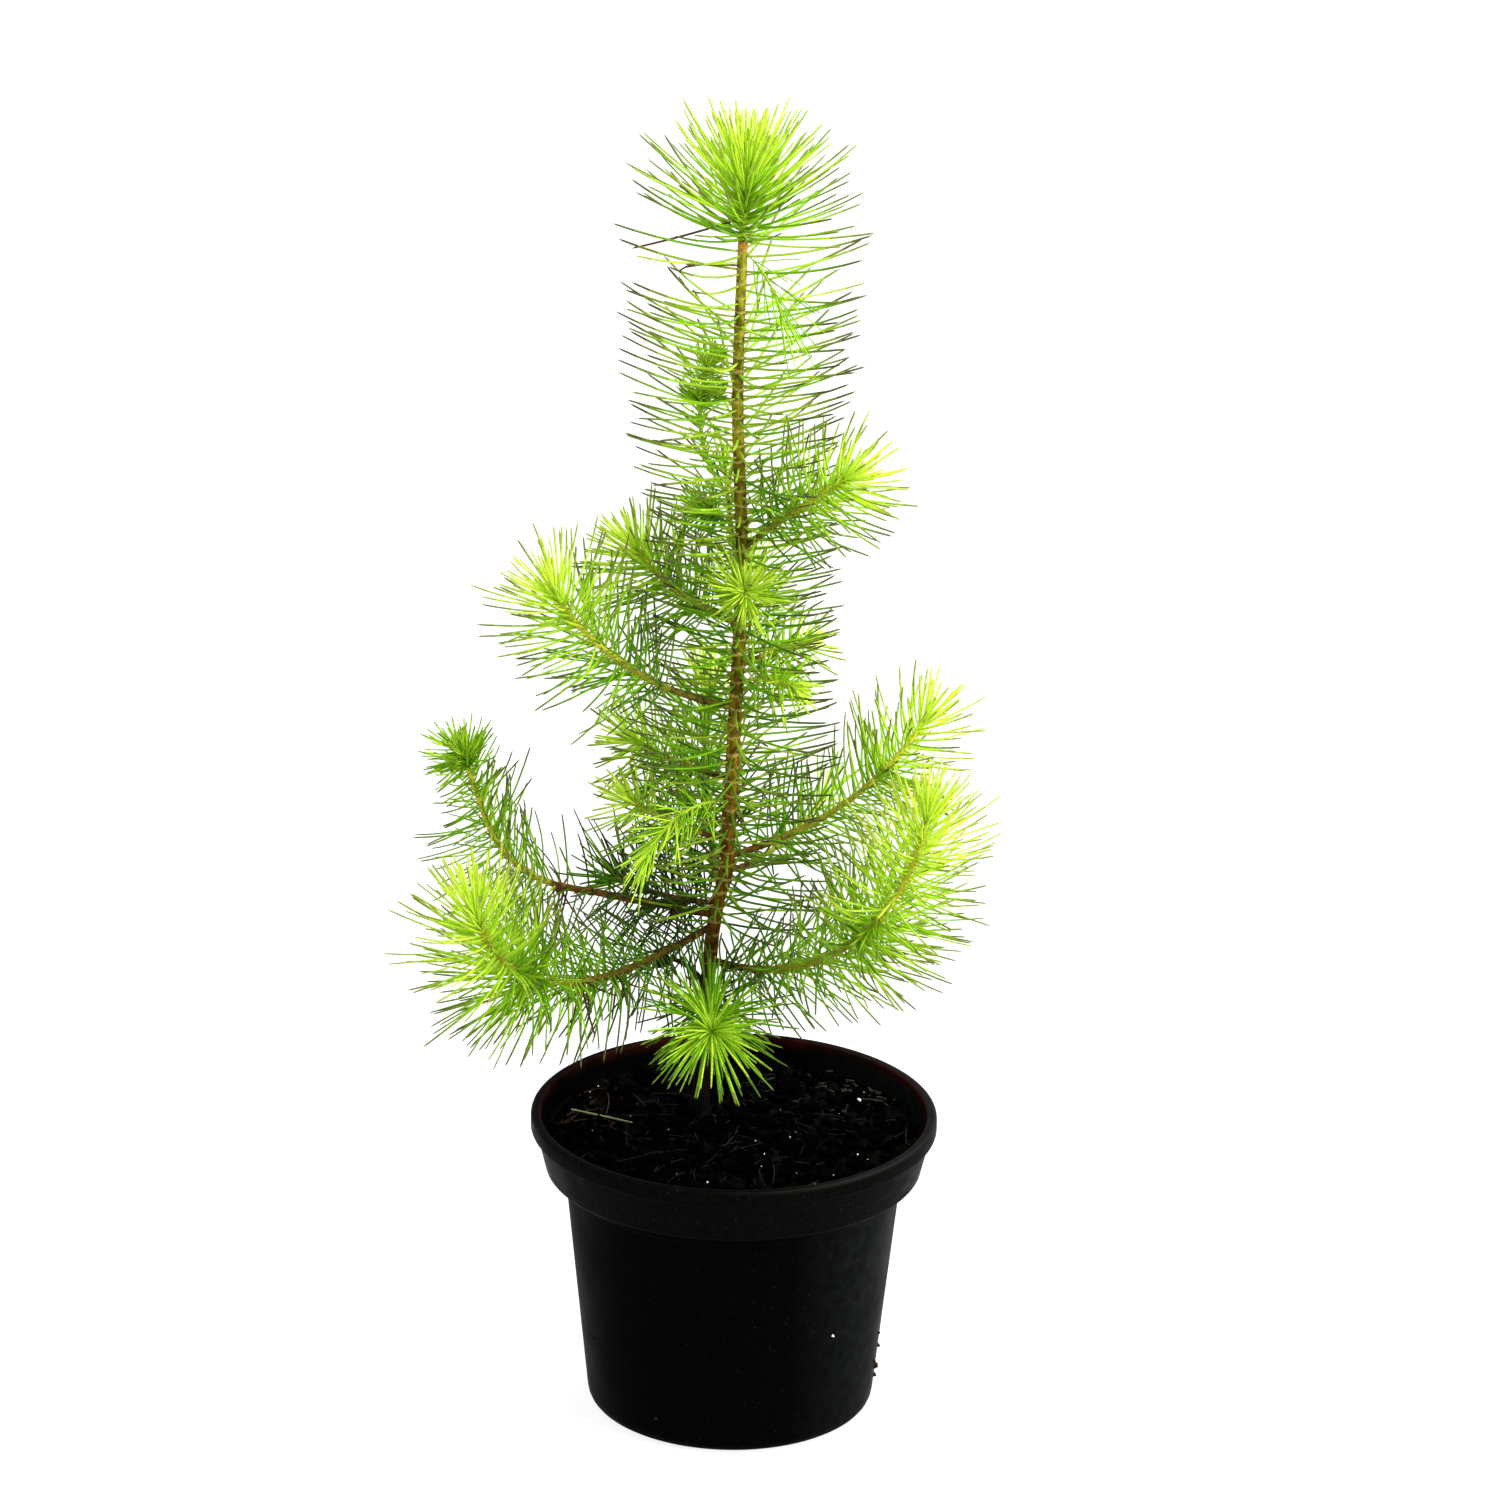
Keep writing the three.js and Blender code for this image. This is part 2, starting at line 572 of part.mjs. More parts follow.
function makeLeader() {
  const low = TRUNK_TIP + CLEARANCE;
  const path = trunkPath(low, low + LEADER.length);
  const [count, firstReach, lastReach] = LEADER.needles;
  addObstacle(LEADER.name, path, stemRadius, true);
  const needles = growNeedles({
    owner: LEADER.name, path, count, seed: 9000,
    opening: (share) => mix(LEADER.opening[0], LEADER.opening[1], share ** 1.3),
    reachAt: (share) => mix(firstReach, lastReach, share),
    rootAt: () => 0,
  });
  let solid = taper(path, stemRadius, STEM_SIDES, stepsFor(path));
  needles.forEach((line) => { solid = solid.add(needleSolid(line)); });
  addMesh(LEADER.name, solid, COLOURS.bright);
}

// Thin sleeves round the trunk, with the trunk's needles standing out of them.
function makeSleeves() {
  const roots = limbRoots();
  const height = (TRUNK_TIP - SLEEVE_START) / SLEEVE_COUNT;
  for (let i = 0; i < SLEEVE_COUNT; i += 1) {
    const name = `mass_trunk_${i + 1}`;
    const low = SLEEVE_START + i * height;
    const high = low + height - CLEARANCE;
    const path = trunkPath(low, high);
    const radiusAt = (share) => trunkRadius(mix(low, high, share)) + SLEEVE_WALL + CLEARANCE;
    const rootAt = (share) => trunkRadius(mix(low, high, share)) + CLEARANCE + SLEEVE_WALL / 3;
    const green = trunkPath(low + SLEEVE_MARGIN, high - SLEEVE_MARGIN);
    const needles = growNeedles({
      owner: name, path: green, count: SLEEVE_NEEDLES, seed: 5000 + 100 * i,
      opening: () => TRUNK_OPENING, reachAt: () => SLEEVE_REACH, rootAt,
    });
    let solid = taper(path, radiusAt, TRUNK_SIDES, SLEEVE_STEPS);
    needles.forEach((line) => { solid = solid.add(needleSolid(line)); });
    solid = solid.subtract(clearOfTrunk);
    roots.forEach((limb) => { solid = solid.subtract(limb); });
    addMesh(name, solid, i < 3 ? COLOURS.mid : COLOURS.fresh);
  }
}

makePot();
makeSoil();
makeTrunk();
registerObstacles();
makeBoughs();
makeDeadStub();
makeLeader();
makeSleeves();
makeMasses();

export default root;
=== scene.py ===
# %% [markdown]
# # A young stone pine in a nursery pot
#
# The plant and its pot stand about 40 cm tall: one thin trunk, fifteen side limbs, a few short
# shoots, and some thousands of needles that grow one by one round every green stem.
#
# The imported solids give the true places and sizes. This lesson grows the fine surface on them: bark
# with the cushion of each needle, the needles themselves, turned plastic, and crumbly soil.
# Everything is a surface worked out as whole arrays, so the plant is the same each time.

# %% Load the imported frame
import math

import bpy
import numpy as np
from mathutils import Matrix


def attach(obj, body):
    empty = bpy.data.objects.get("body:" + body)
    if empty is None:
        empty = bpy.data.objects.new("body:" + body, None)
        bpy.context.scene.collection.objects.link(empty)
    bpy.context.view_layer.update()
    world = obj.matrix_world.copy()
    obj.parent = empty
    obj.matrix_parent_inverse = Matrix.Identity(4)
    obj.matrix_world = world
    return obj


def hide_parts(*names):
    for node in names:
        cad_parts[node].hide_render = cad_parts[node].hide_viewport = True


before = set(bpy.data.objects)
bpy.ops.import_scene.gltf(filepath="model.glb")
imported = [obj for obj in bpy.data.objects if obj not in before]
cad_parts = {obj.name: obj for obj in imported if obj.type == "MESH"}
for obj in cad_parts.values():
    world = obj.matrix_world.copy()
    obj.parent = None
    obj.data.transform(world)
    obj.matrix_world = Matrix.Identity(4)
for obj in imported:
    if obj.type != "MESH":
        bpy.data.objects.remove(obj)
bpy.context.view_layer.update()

# %% [markdown]
# ## Meshes from whole arrays
#
# Blender can build a mesh face by face, but thousands of needles would take minutes that way. Here
# every piece is first an array of points and an array of faces. One function then hands both to the
# mesh in one go. The tables of this lesson are in millimetres, and the scene is in metres.

# %% Put points and faces into a mesh
MM = 0.001


def add_piece(name, points, faces, materials, bands=None):
    """A mesh object from points in millimetres. faces is a list of arrays, one for each number of
    corners, and bands gives each face the number of its material."""
    sizes = np.concatenate([np.full(len(part), part.shape[1]) for part in faces])
    corners = np.concatenate([part.ravel() for part in faces])
    mesh = bpy.data.meshes.new(name)
    mesh.vertices.add(len(points))
    mesh.vertices.foreach_set("co", (np.asarray(points) * MM).astype(np.float32).ravel())
    mesh.loops.add(len(corners))
    mesh.loops.foreach_set("vertex_index", corners.astype(np.int32))
    mesh.polygons.add(len(sizes))
    mesh.polygons.foreach_set("loop_start", (np.cumsum(sizes) - sizes).astype(np.int32))
    mesh.polygons.foreach_set("use_smooth", np.ones(len(sizes), bool))
    for material in materials:
        mesh.materials.append(material)
    if bands is not None:
        mesh.polygons.foreach_set("material_index", np.asarray(bands, np.int32))
    mesh.update(calc_edges=True)
    piece = bpy.data.objects.new(name, mesh)
    bpy.context.scene.collection.objects.link(piece)
    print(name, len(points), "points,", int((sizes - 2).sum()), "triangles")
    return piece


def settle(piece, nodes=()):
    """The piece rides on the plant's one body and stands for the named nodes."""
    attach(piece, "root")
    if nodes:
        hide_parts(*nodes)


# %% [markdown]
# ## Helpers for lines, angles and seeded chance
#
# A plant needs variation that is the same on each run. jitter turns a number into a value from -1 to
# 1, and rumple turns a point into a smooth irregular height. Both come from sine waves, so they work
# on whole arrays at once.

# %% Chance that repeats
JITTER_TURN = 12.9898
JITTER_START = 4.1414
JITTER_HEIGHT = 43758.5453
WAVE_SPREAD = (0.6, 1.7)


def jitter(seed):
    """From -1 to 1: what is left over the whole part of a very high sine wave at the seed."""
    wave = np.sin(np.asarray(seed, float) * JITTER_TURN + JITTER_START) * JITTER_HEIGHT
    return 2 * (wave - np.floor(wave)) - 1


def mix(first, last, share):
    """The value at a share of the way from first to last."""
    return first + (last - first) * share


def unit(vector):
    """Each vector at length 1."""
    return vector / np.linalg.norm(vector, axis=-1, keepdims=True)


def even_angles(count):
    """Angles at even steps round a circle."""
    return np.arange(count) * 2 * math.pi / count


def rumple(points, size, seed, waves=20):
    """Smooth height, mostly from -1 to 1: a sum of sine waves that run in seeded directions, each
    about size millimetres long."""
    chance = np.random.default_rng(seed)
    direction = unit(chance.normal(size=(waves, 3)))
    length = size * chance.uniform(*WAVE_SPREAD, waves)
    phase = chance.uniform(0, 2 * math.pi, waves)
    total = np.zeros(np.shape(points)[:-1])
    for way, reach, start in zip(direction, length, phase):
        total += np.sin(points @ way * (2 * math.pi / reach) + start)
    return total / math.sqrt(2 * waves)


# %% [markdown]
# ## Colours and finishes
#
# Each finish is one Principled shader. What is the same all over a surface is set on the shader's own
# socket. What varies is drawn by nodes from Object coordinates, which stay with the piece.
#
# Needles are a special case. A pattern on thousands of tiny faces is lost when a model is exported,
# so a needle's colour is plain, and the variation comes from dealing many tints out over the sprays.

# %% Shader helpers
def finish(name, colour, roughness, specular=0.5, **sockets):
    """A material with plain values. sockets are further inputs, with _ in place of a space."""
    material = bpy.data.materials.new(name)
    material.use_nodes = True
    shader = material.node_tree.nodes["Principled BSDF"]
    shader.inputs["Base Color"].default_value = (*colour, 1)
    shader.inputs["Roughness"].default_value = roughness
    shader.inputs["Specular IOR Level"].default_value = specular
    for socket, value in sockets.items():
        shader.inputs[socket.replace("_", " ")].default_value = value
    return material


def add_node(material, kind, **values):
    """A node with some of its settings or inputs set."""
    made = material.node_tree.nodes.new(kind)
    for key, value in values.items():
        label = key.replace("_", " ")
        if label in made.inputs:
            made.inputs[label].default_value = value
        else:
            setattr(made, key, value)
    return made


def connect(material, source, target):
    """A link between two sockets."""
    material.node_tree.links.new(source, target)


def drive(material, socket, value):
    """One input of the shader, driven by a pattern."""
    connect(material, value, material.node_tree.nodes["Principled BSDF"].inputs[socket])


# %% Patterns that colour a surface
def stretched(material, stretch):
    """The piece's own coordinates in metres, each axis times its stretch."""
    place = add_node(material, "ShaderNodeTexCoord")
    made = add_node(material, "ShaderNodeMapping", Scale=stretch)
    connect(material, place.outputs["Object"], made.inputs["Vector"])
    return made.outputs["Vector"]


def speckle(material, scale, detail=4.0, stretch=(1, 1, 1)):
    """A noise pattern, scale being its turns per metre. Returns its value."""
    pattern = add_node(material, "ShaderNodeTexNoise", Scale=scale, Detail=detail)
    connect(material, stretched(material, stretch), pattern.inputs["Vector"])
    return pattern.outputs["Fac"]


def distance_share(material, stretch, near, far):
    """0 where the stretched point is near metres from the piece's origin, and 1 where it is far. With
    a stretch of (0, 0, 1) that is its height, and with (1, 1, 0) how far out it is."""
    length = add_node(material, "ShaderNodeVectorMath", operation="LENGTH")
    connect(material, stretched(material, stretch), length.inputs[0])
    share = add_node(material, "ShaderNodeMapRange", From_Min=near, From_Max=far)
    connect(material, length.outputs["Value"], share.inputs["Value"])
    return share.outputs["Result"]


# %% Colours for the patterns
def ramp(material, value, stops):
    """Colours at shares of a value. stops is a list of (share, colour), and a single number in place
    of a colour is a grey."""
    made = add_node(material, "ShaderNodeValToRGB")
    band = made.color_ramp
    band.elements.remove(band.elements[1])
    band.elements[0].position = stops[0][0]
    for number, (share, colour) in enumerate(stops):
        element = band.elements.new(share) if number else band.elements[0]
        element.color = (*np.full(3, colour, float), 1)
    connect(material, value, made.inputs["Fac"])
    return made.outputs["Color"]


def mottled(material, scale, stops, detail=4.0, stretch=(1, 1, 1)):
    """A noise pattern with its values turned into colours or greys."""
    return ramp(material, speckle(material, scale, detail, stretch), stops)


def blend(material, kind, amount, below, above):
    """Two colours laid over each other. amount is a number or a pattern, above a pattern or a colour."""
    made = add_node(material, "ShaderNodeMix", data_type="RGBA", blend_type=kind)
    entry = {socket.identifier: socket for socket in made.inputs}
    for key, value in (("Factor_Float", amount), ("A_Color", below), ("B_Color", above)):
        if isinstance(value, bpy.types.NodeSocket):
            connect(material, value, entry[key])
        else:
            entry[key].default_value = value
    return next(socket for socket in made.outputs if socket.identifier == "Result_Color")


def bump(material, scale, strength, depth, detail=4.0, stretch=(1, 1, 1)):
    """Relief that is too fine for the mesh: a noise pattern, depth metres high."""
    made = add_node(material, "ShaderNodeBump", Strength=strength, Distance=depth)
    connect(material, speckle(material, scale, detail, stretch), made.inputs["Height"])
    drive(material, "Normal", made.outputs["Normal"])


def waxy(name, colour, specular, scale, glossy, dull):
    """Living skin: a plain colour with a gloss that wanders between two values of roughness."""
    material = finish(name, colour, roughness=(glossy + dull) / 2, specular=specular)
    gloss = mottled(material, scale, [(0.3, glossy), (0.7, dull)], detail=2)
    drive(material, "Roughness", gloss)
    return material


# %% [markdown]
# ## Paths that stems follow
#
# A stem is a line through space with a frame at each point: the direction along it, a side, and
# across, which is square to both. The trunk's line is a smooth curve through a few measured stations.
# A limb is steered instead: it leaves the trunk at a height and an azimuth, and its elevation turns
# from a start to an end value. These are the solids' own rules, with a few numbers brought closer to
# the photograph.

# %% A path with a frame
class Path:
    """A line with a frame at each station, read at any distance from its start."""

    def __init__(self, points, along, side):
        steps = np.linalg.norm(np.diff(points, axis=0), axis=1)
        self.distance = np.concatenate([[0.0], np.cumsum(steps)])
        self.length = self.distance[-1]
        self.columns = np.hstack([points, along, side])

    def at(self, distance):
        """Points, directions, sides and acrosses at an array of distances."""
        read = [np.interp(distance, self.distance, column) for column in self.columns.T]
        point, along, side = np.split(np.stack(read, axis=-1), 3, axis=-1)
        along, side = unit(along), unit(side)
        return point, along, side, np.cross(side, along)


# %% The line of the trunk
# Height above the pot's underside, then the offset to the right and to the back.
TRUNK_AXIS = np.array([
    [87, -10.3, 8], [127, -8.5, 6.4], [145, -7.2, 5.7], [157, -5.6, 5.2], [164, -3.7, 5],
    [171, -3, 4.7], [198, -2.1, 3.5], [239, -0.6, 2], [264, -0.1, 2], [312, -2, 2], [360, -1.2, 2],
    [382, -0.4, 2],
])
TRUNK_FOOT = 87.3
TRUNK_TIP = 360.0
LEADER_LENGTH = 22.0


def trunk_point(height):
    """Points of the trunk's line: cubic spans between the stations, each leaving a station with the
    slope of the line between that station's two neighbours."""
    stations = TRUNK_AXIS[:, 0]
    last = len(stations) - 1
    span = np.clip(np.searchsorted(stations, height) - 1, 0, last - 1)
    rise = stations[span + 1] - stations[span]
    share = ((height - stations[span]) / rise)[:, None]
    before = np.maximum(np.arange(last + 1) - 1, 0)
    after = np.minimum(np.arange(last + 1) + 1, last)
    slope = (TRUNK_AXIS[after, 1:] - TRUNK_AXIS[before, 1:]) / (stations[after] - stations[before])[:, None]
    offset = (2 * share**3 - 3 * share**2 + 1) * TRUNK_AXIS[span, 1:]
    offset += (3 * share**2 - 2 * share**3) * TRUNK_AXIS[span + 1, 1:]
    offset += (share**3 - 2 * share**2 + share) * rise[:, None] * slope[span]
    offset += (share**3 - share**2) * rise[:, None] * slope[span + 1]
    return np.column_stack([offset, height])


def upright_path(low, high, stations=240):
    """The trunk's line between two heights."""
    height = np.linspace(low, high, stations)
    along = unit(trunk_point(height + 1) - trunk_point(height - 1))
    side = unit(np.array([1.0, 0, 0]) - along * along[:, :1])
    return Path(trunk_point(height), along, side)


# %% The line of a limb
def eased(share, first, last):
    """0 up to the first share and 1 from the last on, with a cubic of no slope at both ends between."""
    part = np.clip((share - first) / (last - first), 0, 1)
    return part**2 * (3 - 2 * part)


def limb_path(limb, stations=48):
    """A steered line. Its elevation goes from the first to the second value of rise as the share of
    its length to the power bend, or eased between the two shares of elbow. Its azimuth turns by
    sweep."""
    def heading(share):
        turn = np.radians(limb["azimuth"] + limb["sweep"] * share)
        risen = eased(share, *limb["elbow"]) if "elbow" in limb else share ** limb["bend"]
        climb = np.radians(mix(*limb["rise"], risen))
        flat = np.cos(climb)
        along = np.column_stack([flat * np.cos(turn), flat * np.sin(turn), np.sin(climb)])
        return along, np.column_stack([-np.sin(turn), np.cos(turn), 0 * turn])

    start = trunk_point(np.array([float(limb["height"])]))
    middles, _ = heading((np.arange(stations) + 0.5) / stations)
    points = np.vstack([start, start + np.cumsum(middles, axis=0) * limb["length"] / stations])
    return Path(points, *heading(np.linspace(0, 1, stations + 1)))


trunk = upright_path(TRUNK_FOOT, TRUNK_TIP)
leader = upright_path(TRUNK_TIP, TRUNK_TIP + LEADER_LENGTH, stations=20)
print("trunk length", round(trunk.length, 1), "mm")

# %% [markdown]
# ## The limbs and shoots
#
# One row per limb, as in the solids: where it leaves the trunk, how it turns, how long it is, and
# how much of it is bare. Lengths are in millimetres and angles in degrees. HABIT holds what a row
# leaves out.
#
# - reach: the length of its needles at even shares of the green part, from its start to its end.
# - tone: the tint of its needles at the start and at the end, from 1 for the darkest green to 7 for
#   the new growth. glow is what a needle that points forward adds to it.
# - crowd is how dense the needles stand, 1 being usual, and crowding draws them to the tip. fine
#   makes them thinner. uneven scales how far their lengths and leans stray, and stray how far they
#   stray round the stem.
# - core is how far a needle's root lies from the stem's line, and combed draws the needles to its two
#   sides.
# - openings: the needles' angles from the stem at a few shares. On side stems they close to a tuft
#   at the tip, and on the trunk they stay wide. curl bends a needle towards the stem's tip.
# - whorl adds needles round the place of last year's bud: its share of the green part, and their
#   number. fringe leaves some on the bare stretch: the share it reaches back, and their number.
# - slant leans the needles on one side back by that many degrees, and those opposite forward.
# - soft_from: from this share on, the needles are young and green to their points.
# - thin_from: from this share on, about two needles in three have fallen.
# - olive_above: needles whose chance is above it have turned olive.
# - russet makes the skin of the green stretch look older by so many tints. start is how far from the
#   trunk's line a shoot's needles begin.

# %% Tables of the limbs and shoots
HABIT = dict(
    sweep=0, bend=1, fine=1.0, crowding=1.35, glow=1.5, uneven=1.0, stray=0.35, core=0.35, combed=0,
    whorl=(0, 0), fringe=(0, 0), slant=(0, (0, 0, 0)), soft_from=1, thin_from=2, olive_above=1,
    russet=0, skin="aging",
)
LIMB_HABIT = HABIT | dict(
    radius=0.75, bare=9, crowd=1.0, curl=0.14,
    openings=((0, 74), (0.6, 72), (0.84, 62), (0.94, 44), (1, 16)),
)
SHOOT_HABIT = HABIT | dict(
    start=6, bare=0, curl=0.10, core=0.3, openings=((0, 84), (0.6, 72), (0.85, 52), (1, 26)),
)
LIMBS = [
    dict(name="low_left", height=152, azimuth=168, sweep=5, rise=(6, 71), elbow=(0.40, 0.81),
         length=101, bare=50, radius=1.0, reach=(23, 25, 22, 12.5, 11), tone=(4.2, 4.9), crowd=1.1,
         fine=0.86, crowding=1.1, glow=0.3, soft_from=0.78, slant=(26, (-1, 0, 0)), uneven=1.7,
         stray=0.8, whorl=(0.95, 170), fringe=(0.8, 50),
         openings=((0, 78), (0.6, 74), (0.8, 78), (0.92, 84), (1, 36))),
    dict(name="low_left_twin", height=156, azimuth=158, sweep=4, rise=(-8, 20), length=34, bare=12,
         radius=0.7, reach=(21, 22, 20), tone=(1.4, 3.4), crowd=1.25, glow=0.2, fine=0.9, uneven=1.5,
         openings=((0, 78), (0.7, 66), (1, 40)), fringe=(0.4, 35)),
    dict(name="low_front_left", height=149, azimuth=212, sweep=11, rise=(-19, 78), bend=1.74,
         length=101, bare=15, radius=0.95, reach=(20, 25, 30, 28), tone=(2.7, 6.1), crowd=1.3,
         fine=0.92, whorl=(0.62, 80), fringe=(0.14, 32), russet=1.3),
    dict(name="low_front_right", height=138, azimuth=325, sweep=-2, rise=(-7, 80), bend=0.85,
         length=110, bare=13, radius=0.95, reach=(21, 25, 28, 26), tone=(3.6, 6.6), crowd=1.2,
         fine=0.92, whorl=(0.5, 80), fringe=(0.1, 30), russet=0.8),
    dict(name="low_rear", height=160, azimuth=98, sweep=-8, rise=(2, 62), bend=1.1, length=84,
         bare=13, radius=0.9, reach=(22, 25, 22), tone=(1.8, 4.9), crowd=0.8),
    dict(name="low_rear_right", height=166, azimuth=52, sweep=4, rise=(-8, 30), length=52, bare=11,
         reach=(22, 22, 20), tone=(3.4, 4.6), crowd=0.35),
    dict(name="right", height=171, azimuth=6, rise=(14, 61), bend=1.1, length=74, bare=13,
         radius=0.9, reach=(23, 24, 25, 23), tone=(3.4, 6.2), crowd=0.7, whorl=(0.62, 40), russet=0.6),
    dict(name="left_side", height=176, azimuth=186, rise=(15, 34), length=33, radius=0.65,
         reach=(21, 20, 18), tone=(3.8, 5.9), crowd=1.15),
    dict(name="left_rear", height=195, azimuth=150, rise=(6, 14), length=36, radius=0.65,
         reach=(21, 21, 19), tone=(3.9, 6.0), crowd=1.15),
    dict(name="mid_left", height=218, azimuth=195, rise=(15, 60), bend=1.1, length=70, bare=22,
         radius=0.85, reach=(23, 28, 26), tone=(3.4, 6.0), crowd=1.2),
    dict(name="mid_rear", height=222, azimuth=84, sweep=6, rise=(8, 55), length=50, bare=10,
         reach=(22, 21, 20), tone=(2.9, 4.8), crowd=0.5),
    dict(name="mid_right", height=231, azimuth=32, rise=(14, 4), length=24, bare=8, radius=0.65,
         reach=(16, 16, 14), tone=(4.0, 6.0)),
    dict(name="upper_rear", height=258, azimuth=104, sweep=-8, rise=(22, 62), length=40, radius=0.7,
         reach=(18, 17, 15), tone=(3.4, 5), crowd=0.5),
    dict(name="upper_left", height=244, azimuth=160, rise=(13, 52), bend=1.2, length=39,
         reach=(23, 24, 22), tone=(3.9, 6.0), crowd=1.45),
    dict(name="upper_right", height=267, azimuth=340, rise=(43, 34), length=42, reach=(21, 25, 23),
         tone=(3.4, 6.1), crowd=1.3),
]
SHOOTS = [
    dict(name="front_low", height=129, azimuth=272, rise=(-4, 16), length=46, radius=0.8,
         reach=(18, 24, 26), tone=(3.4, 4.6), needles=270, glow=1.2, soft_from=0.2, fine=0.88),
    dict(name="front_left_loose", height=188, azimuth=236, sweep=-10, rise=(23, -58), bend=1.4,
         length=44, radius=0.3, reach=(17, 21, 22), tone=(4.4, 5.1), needles=75, fine=0.72,
         skin="green", soft_from=0, glow=0.5, uneven=2.2, stray=1.0,
         openings=((0, 58), (0.5, 48), (1, 16))),
    dict(name="right_small", height=226, azimuth=330, rise=(25, -12), length=20, radius=0.5,
         reach=(14, 14, 13), tone=(4.4, 5.6), needles=70, soft_from=0.5),
    dict(name="front_mid", height=252, azimuth=275, rise=(20, 36), length=15, radius=0.6,
         reach=(12, 14, 17), tone=(5.0, 5.9), needles=190, fine=0.8, soft_from=0, uneven=1.6),
    dict(name="rear_left_upper", height=280, azimuth=156, rise=(18, 109), bend=0.58, length=47,
         start=12, radius=0.4, reach=(4, 6, 9, 10), tone=(4.9, 5.4), needles=150, crowding=2.6,
         fine=0.8, glow=0.3, soft_from=0, skin="green", whorl=(0.66, 80),
         openings=((0, 40), (0.6, 62), (0.9, 72), (1, 30))),
    dict(name="left_upper_small", height=276, azimuth=160, rise=(4, 10), length=14, radius=0.5,
         reach=(11, 11, 11), tone=(3.7, 4.4), needles=80, fine=0.8, soft_from=0),
    dict(name="top_drooping", height=357, azimuth=296, sweep=6, rise=(-5, -61), bend=1.3, length=30,
         radius=0.22, reach=(26, 34, 36), tone=(3.9, 4.8), needles=30, fine=0.52, glow=0,
         soft_from=0, skin="green", openings=((0, 38), (1, 12))),
]
print(len(LIMBS), "limbs and", len(SHOOTS), "short shoots")

# %% [markdown]
# ## Green stems and the numbers of their needles
#
# Every stem that bears needles becomes one record with the same fields, so that trunk, limbs, shoots
# and leader all grow by one rule. Each record also names the masses of the solids that it stands for.

# %% One record for each green stem
NEEDLES_PER_MM = 3.8
TRUNK_NEEDLES_PER_MM = 2.4
TRUNK_GREEN_FROM = 150.0
TRUNK_MASSES = 6
TWO_MASSES = ("low_left", "low_front_left", "low_front_right", "low_rear", "right", "mid_left")
TRUNK_RADII = (2.05, 1.1)
FLARE = 1.6
FLARE_HEIGHT = 6


def trunk_radius(height):
    """Radius of the wood: an even taper, and a flare at the foot that fades as an exponential."""
    above = height - TRUNK_FOOT
    return mix(*TRUNK_RADII, above / (TRUNK_TIP - TRUNK_FOOT)) + FLARE * np.exp(-above / FLARE_HEIGHT)


stems = []
for number, row in enumerate(LIMBS):
    limb = LIMB_HABIT | row
    halves = ("_inner", "_outer") if limb["name"] in TWO_MASSES else ("",)
    green = limb["length"] - limb["bare"]
    stems.append(limb | dict(
        path=limb_path(limb), start=limb["bare"], end=limb["length"], seed=100 * (number + 1),
        masses=[f"mass_{limb['name']}{half}" for half in halves],
        needles=round(green * NEEDLES_PER_MM * limb["crowd"]),
    ))
for number, row in enumerate(SHOOTS):
    shoot = SHOOT_HABIT | row
    stems.append(shoot | dict(
        path=limb_path(shoot), end=shoot["length"], seed=100 * (number + 40),
        masses=[f"mass_{shoot['name']}"],
    ))
leader_stem = HABIT | dict(
    name="leader", path=leader, start=0, end=leader.length, bare=0, radius=1.0, seed=9000,
    masses=["mass_leader"], reach=(36, 35, 33, 29), tone=(4.4, 5.6), needles=280, soft_from=0.45,
    openings=((0, 84), (0.25, 68), (0.6, 52), (0.88, 30), (1, 10)), curl=0.15, core=0.4, uneven=0.8,
    stray=0.3, skin="green",
)
trunk_stem = HABIT | dict(
    name="trunk", path=trunk, start=TRUNK_GREEN_FROM - TRUNK_FOOT, end=trunk.length, bare=0,
    radius=1.5, seed=5000, masses=[f"mass_trunk_{part + 1}" for part in range(TRUNK_MASSES)],
    reach=(30, 31, 26, 28, 33, 35), tone=(3.3, 4.9), fine=1.15, crowding=1, thin_from=0.905,
    openings=((0, 93), (0.3, 91), (0.5, 86), (0.85, 83), (1, 88)), curl=0.15, core=1.5, uneven=0.45,
    stray=0.12, combed=0.2, glow=0, olive_above=0.1,
    needles=round((TRUNK_TIP - TRUNK_GREEN_FROM) * TRUNK_NEEDLES_PER_MM),
)
stems += [leader_stem, trunk_stem]
print(len(stems), "green stems,", sum(stem["needles"] for stem in stems), "places for needles")

# %% [markdown]
# ## Where each needle grows
#
# Pine needles follow the golden angle: each stands about 137.5 degrees further round the stem than
# the one before. The rule is the one that made the solids, carried to several times as many needles.
# A needle is a line that leaves the stem's skin at its lean and then bends a little towards the
# stem's tip. The needles that point forward at a tip are the youngest and so the shortest.

# %% Lines, turns and shares of the needles
GOLDEN = math.pi * (3 - math.sqrt(5))
WHORL_SPREAD = 0.07


def needle_line(growth, share):
    """Points of each needle at a share of its length: straight on from its root, with a bend that
    grows as the share squared."""
    way = growth["heading"] * share + growth["bend"] * share**2
    return growth["root"] + growth["reach"][:, None] * way


def needle_turn(stem, index):
    """Angle round the stem at which a needle stands: the golden angle times its number, strayed a
    little. Where a stem is combed, the angles are drawn towards its two sides by a sine."""
    turn = index * GOLDEN + stem["stray"] * jitter(stem["seed"] + index)
    return turn - stem["combed"] * np.sin(2 * turn)


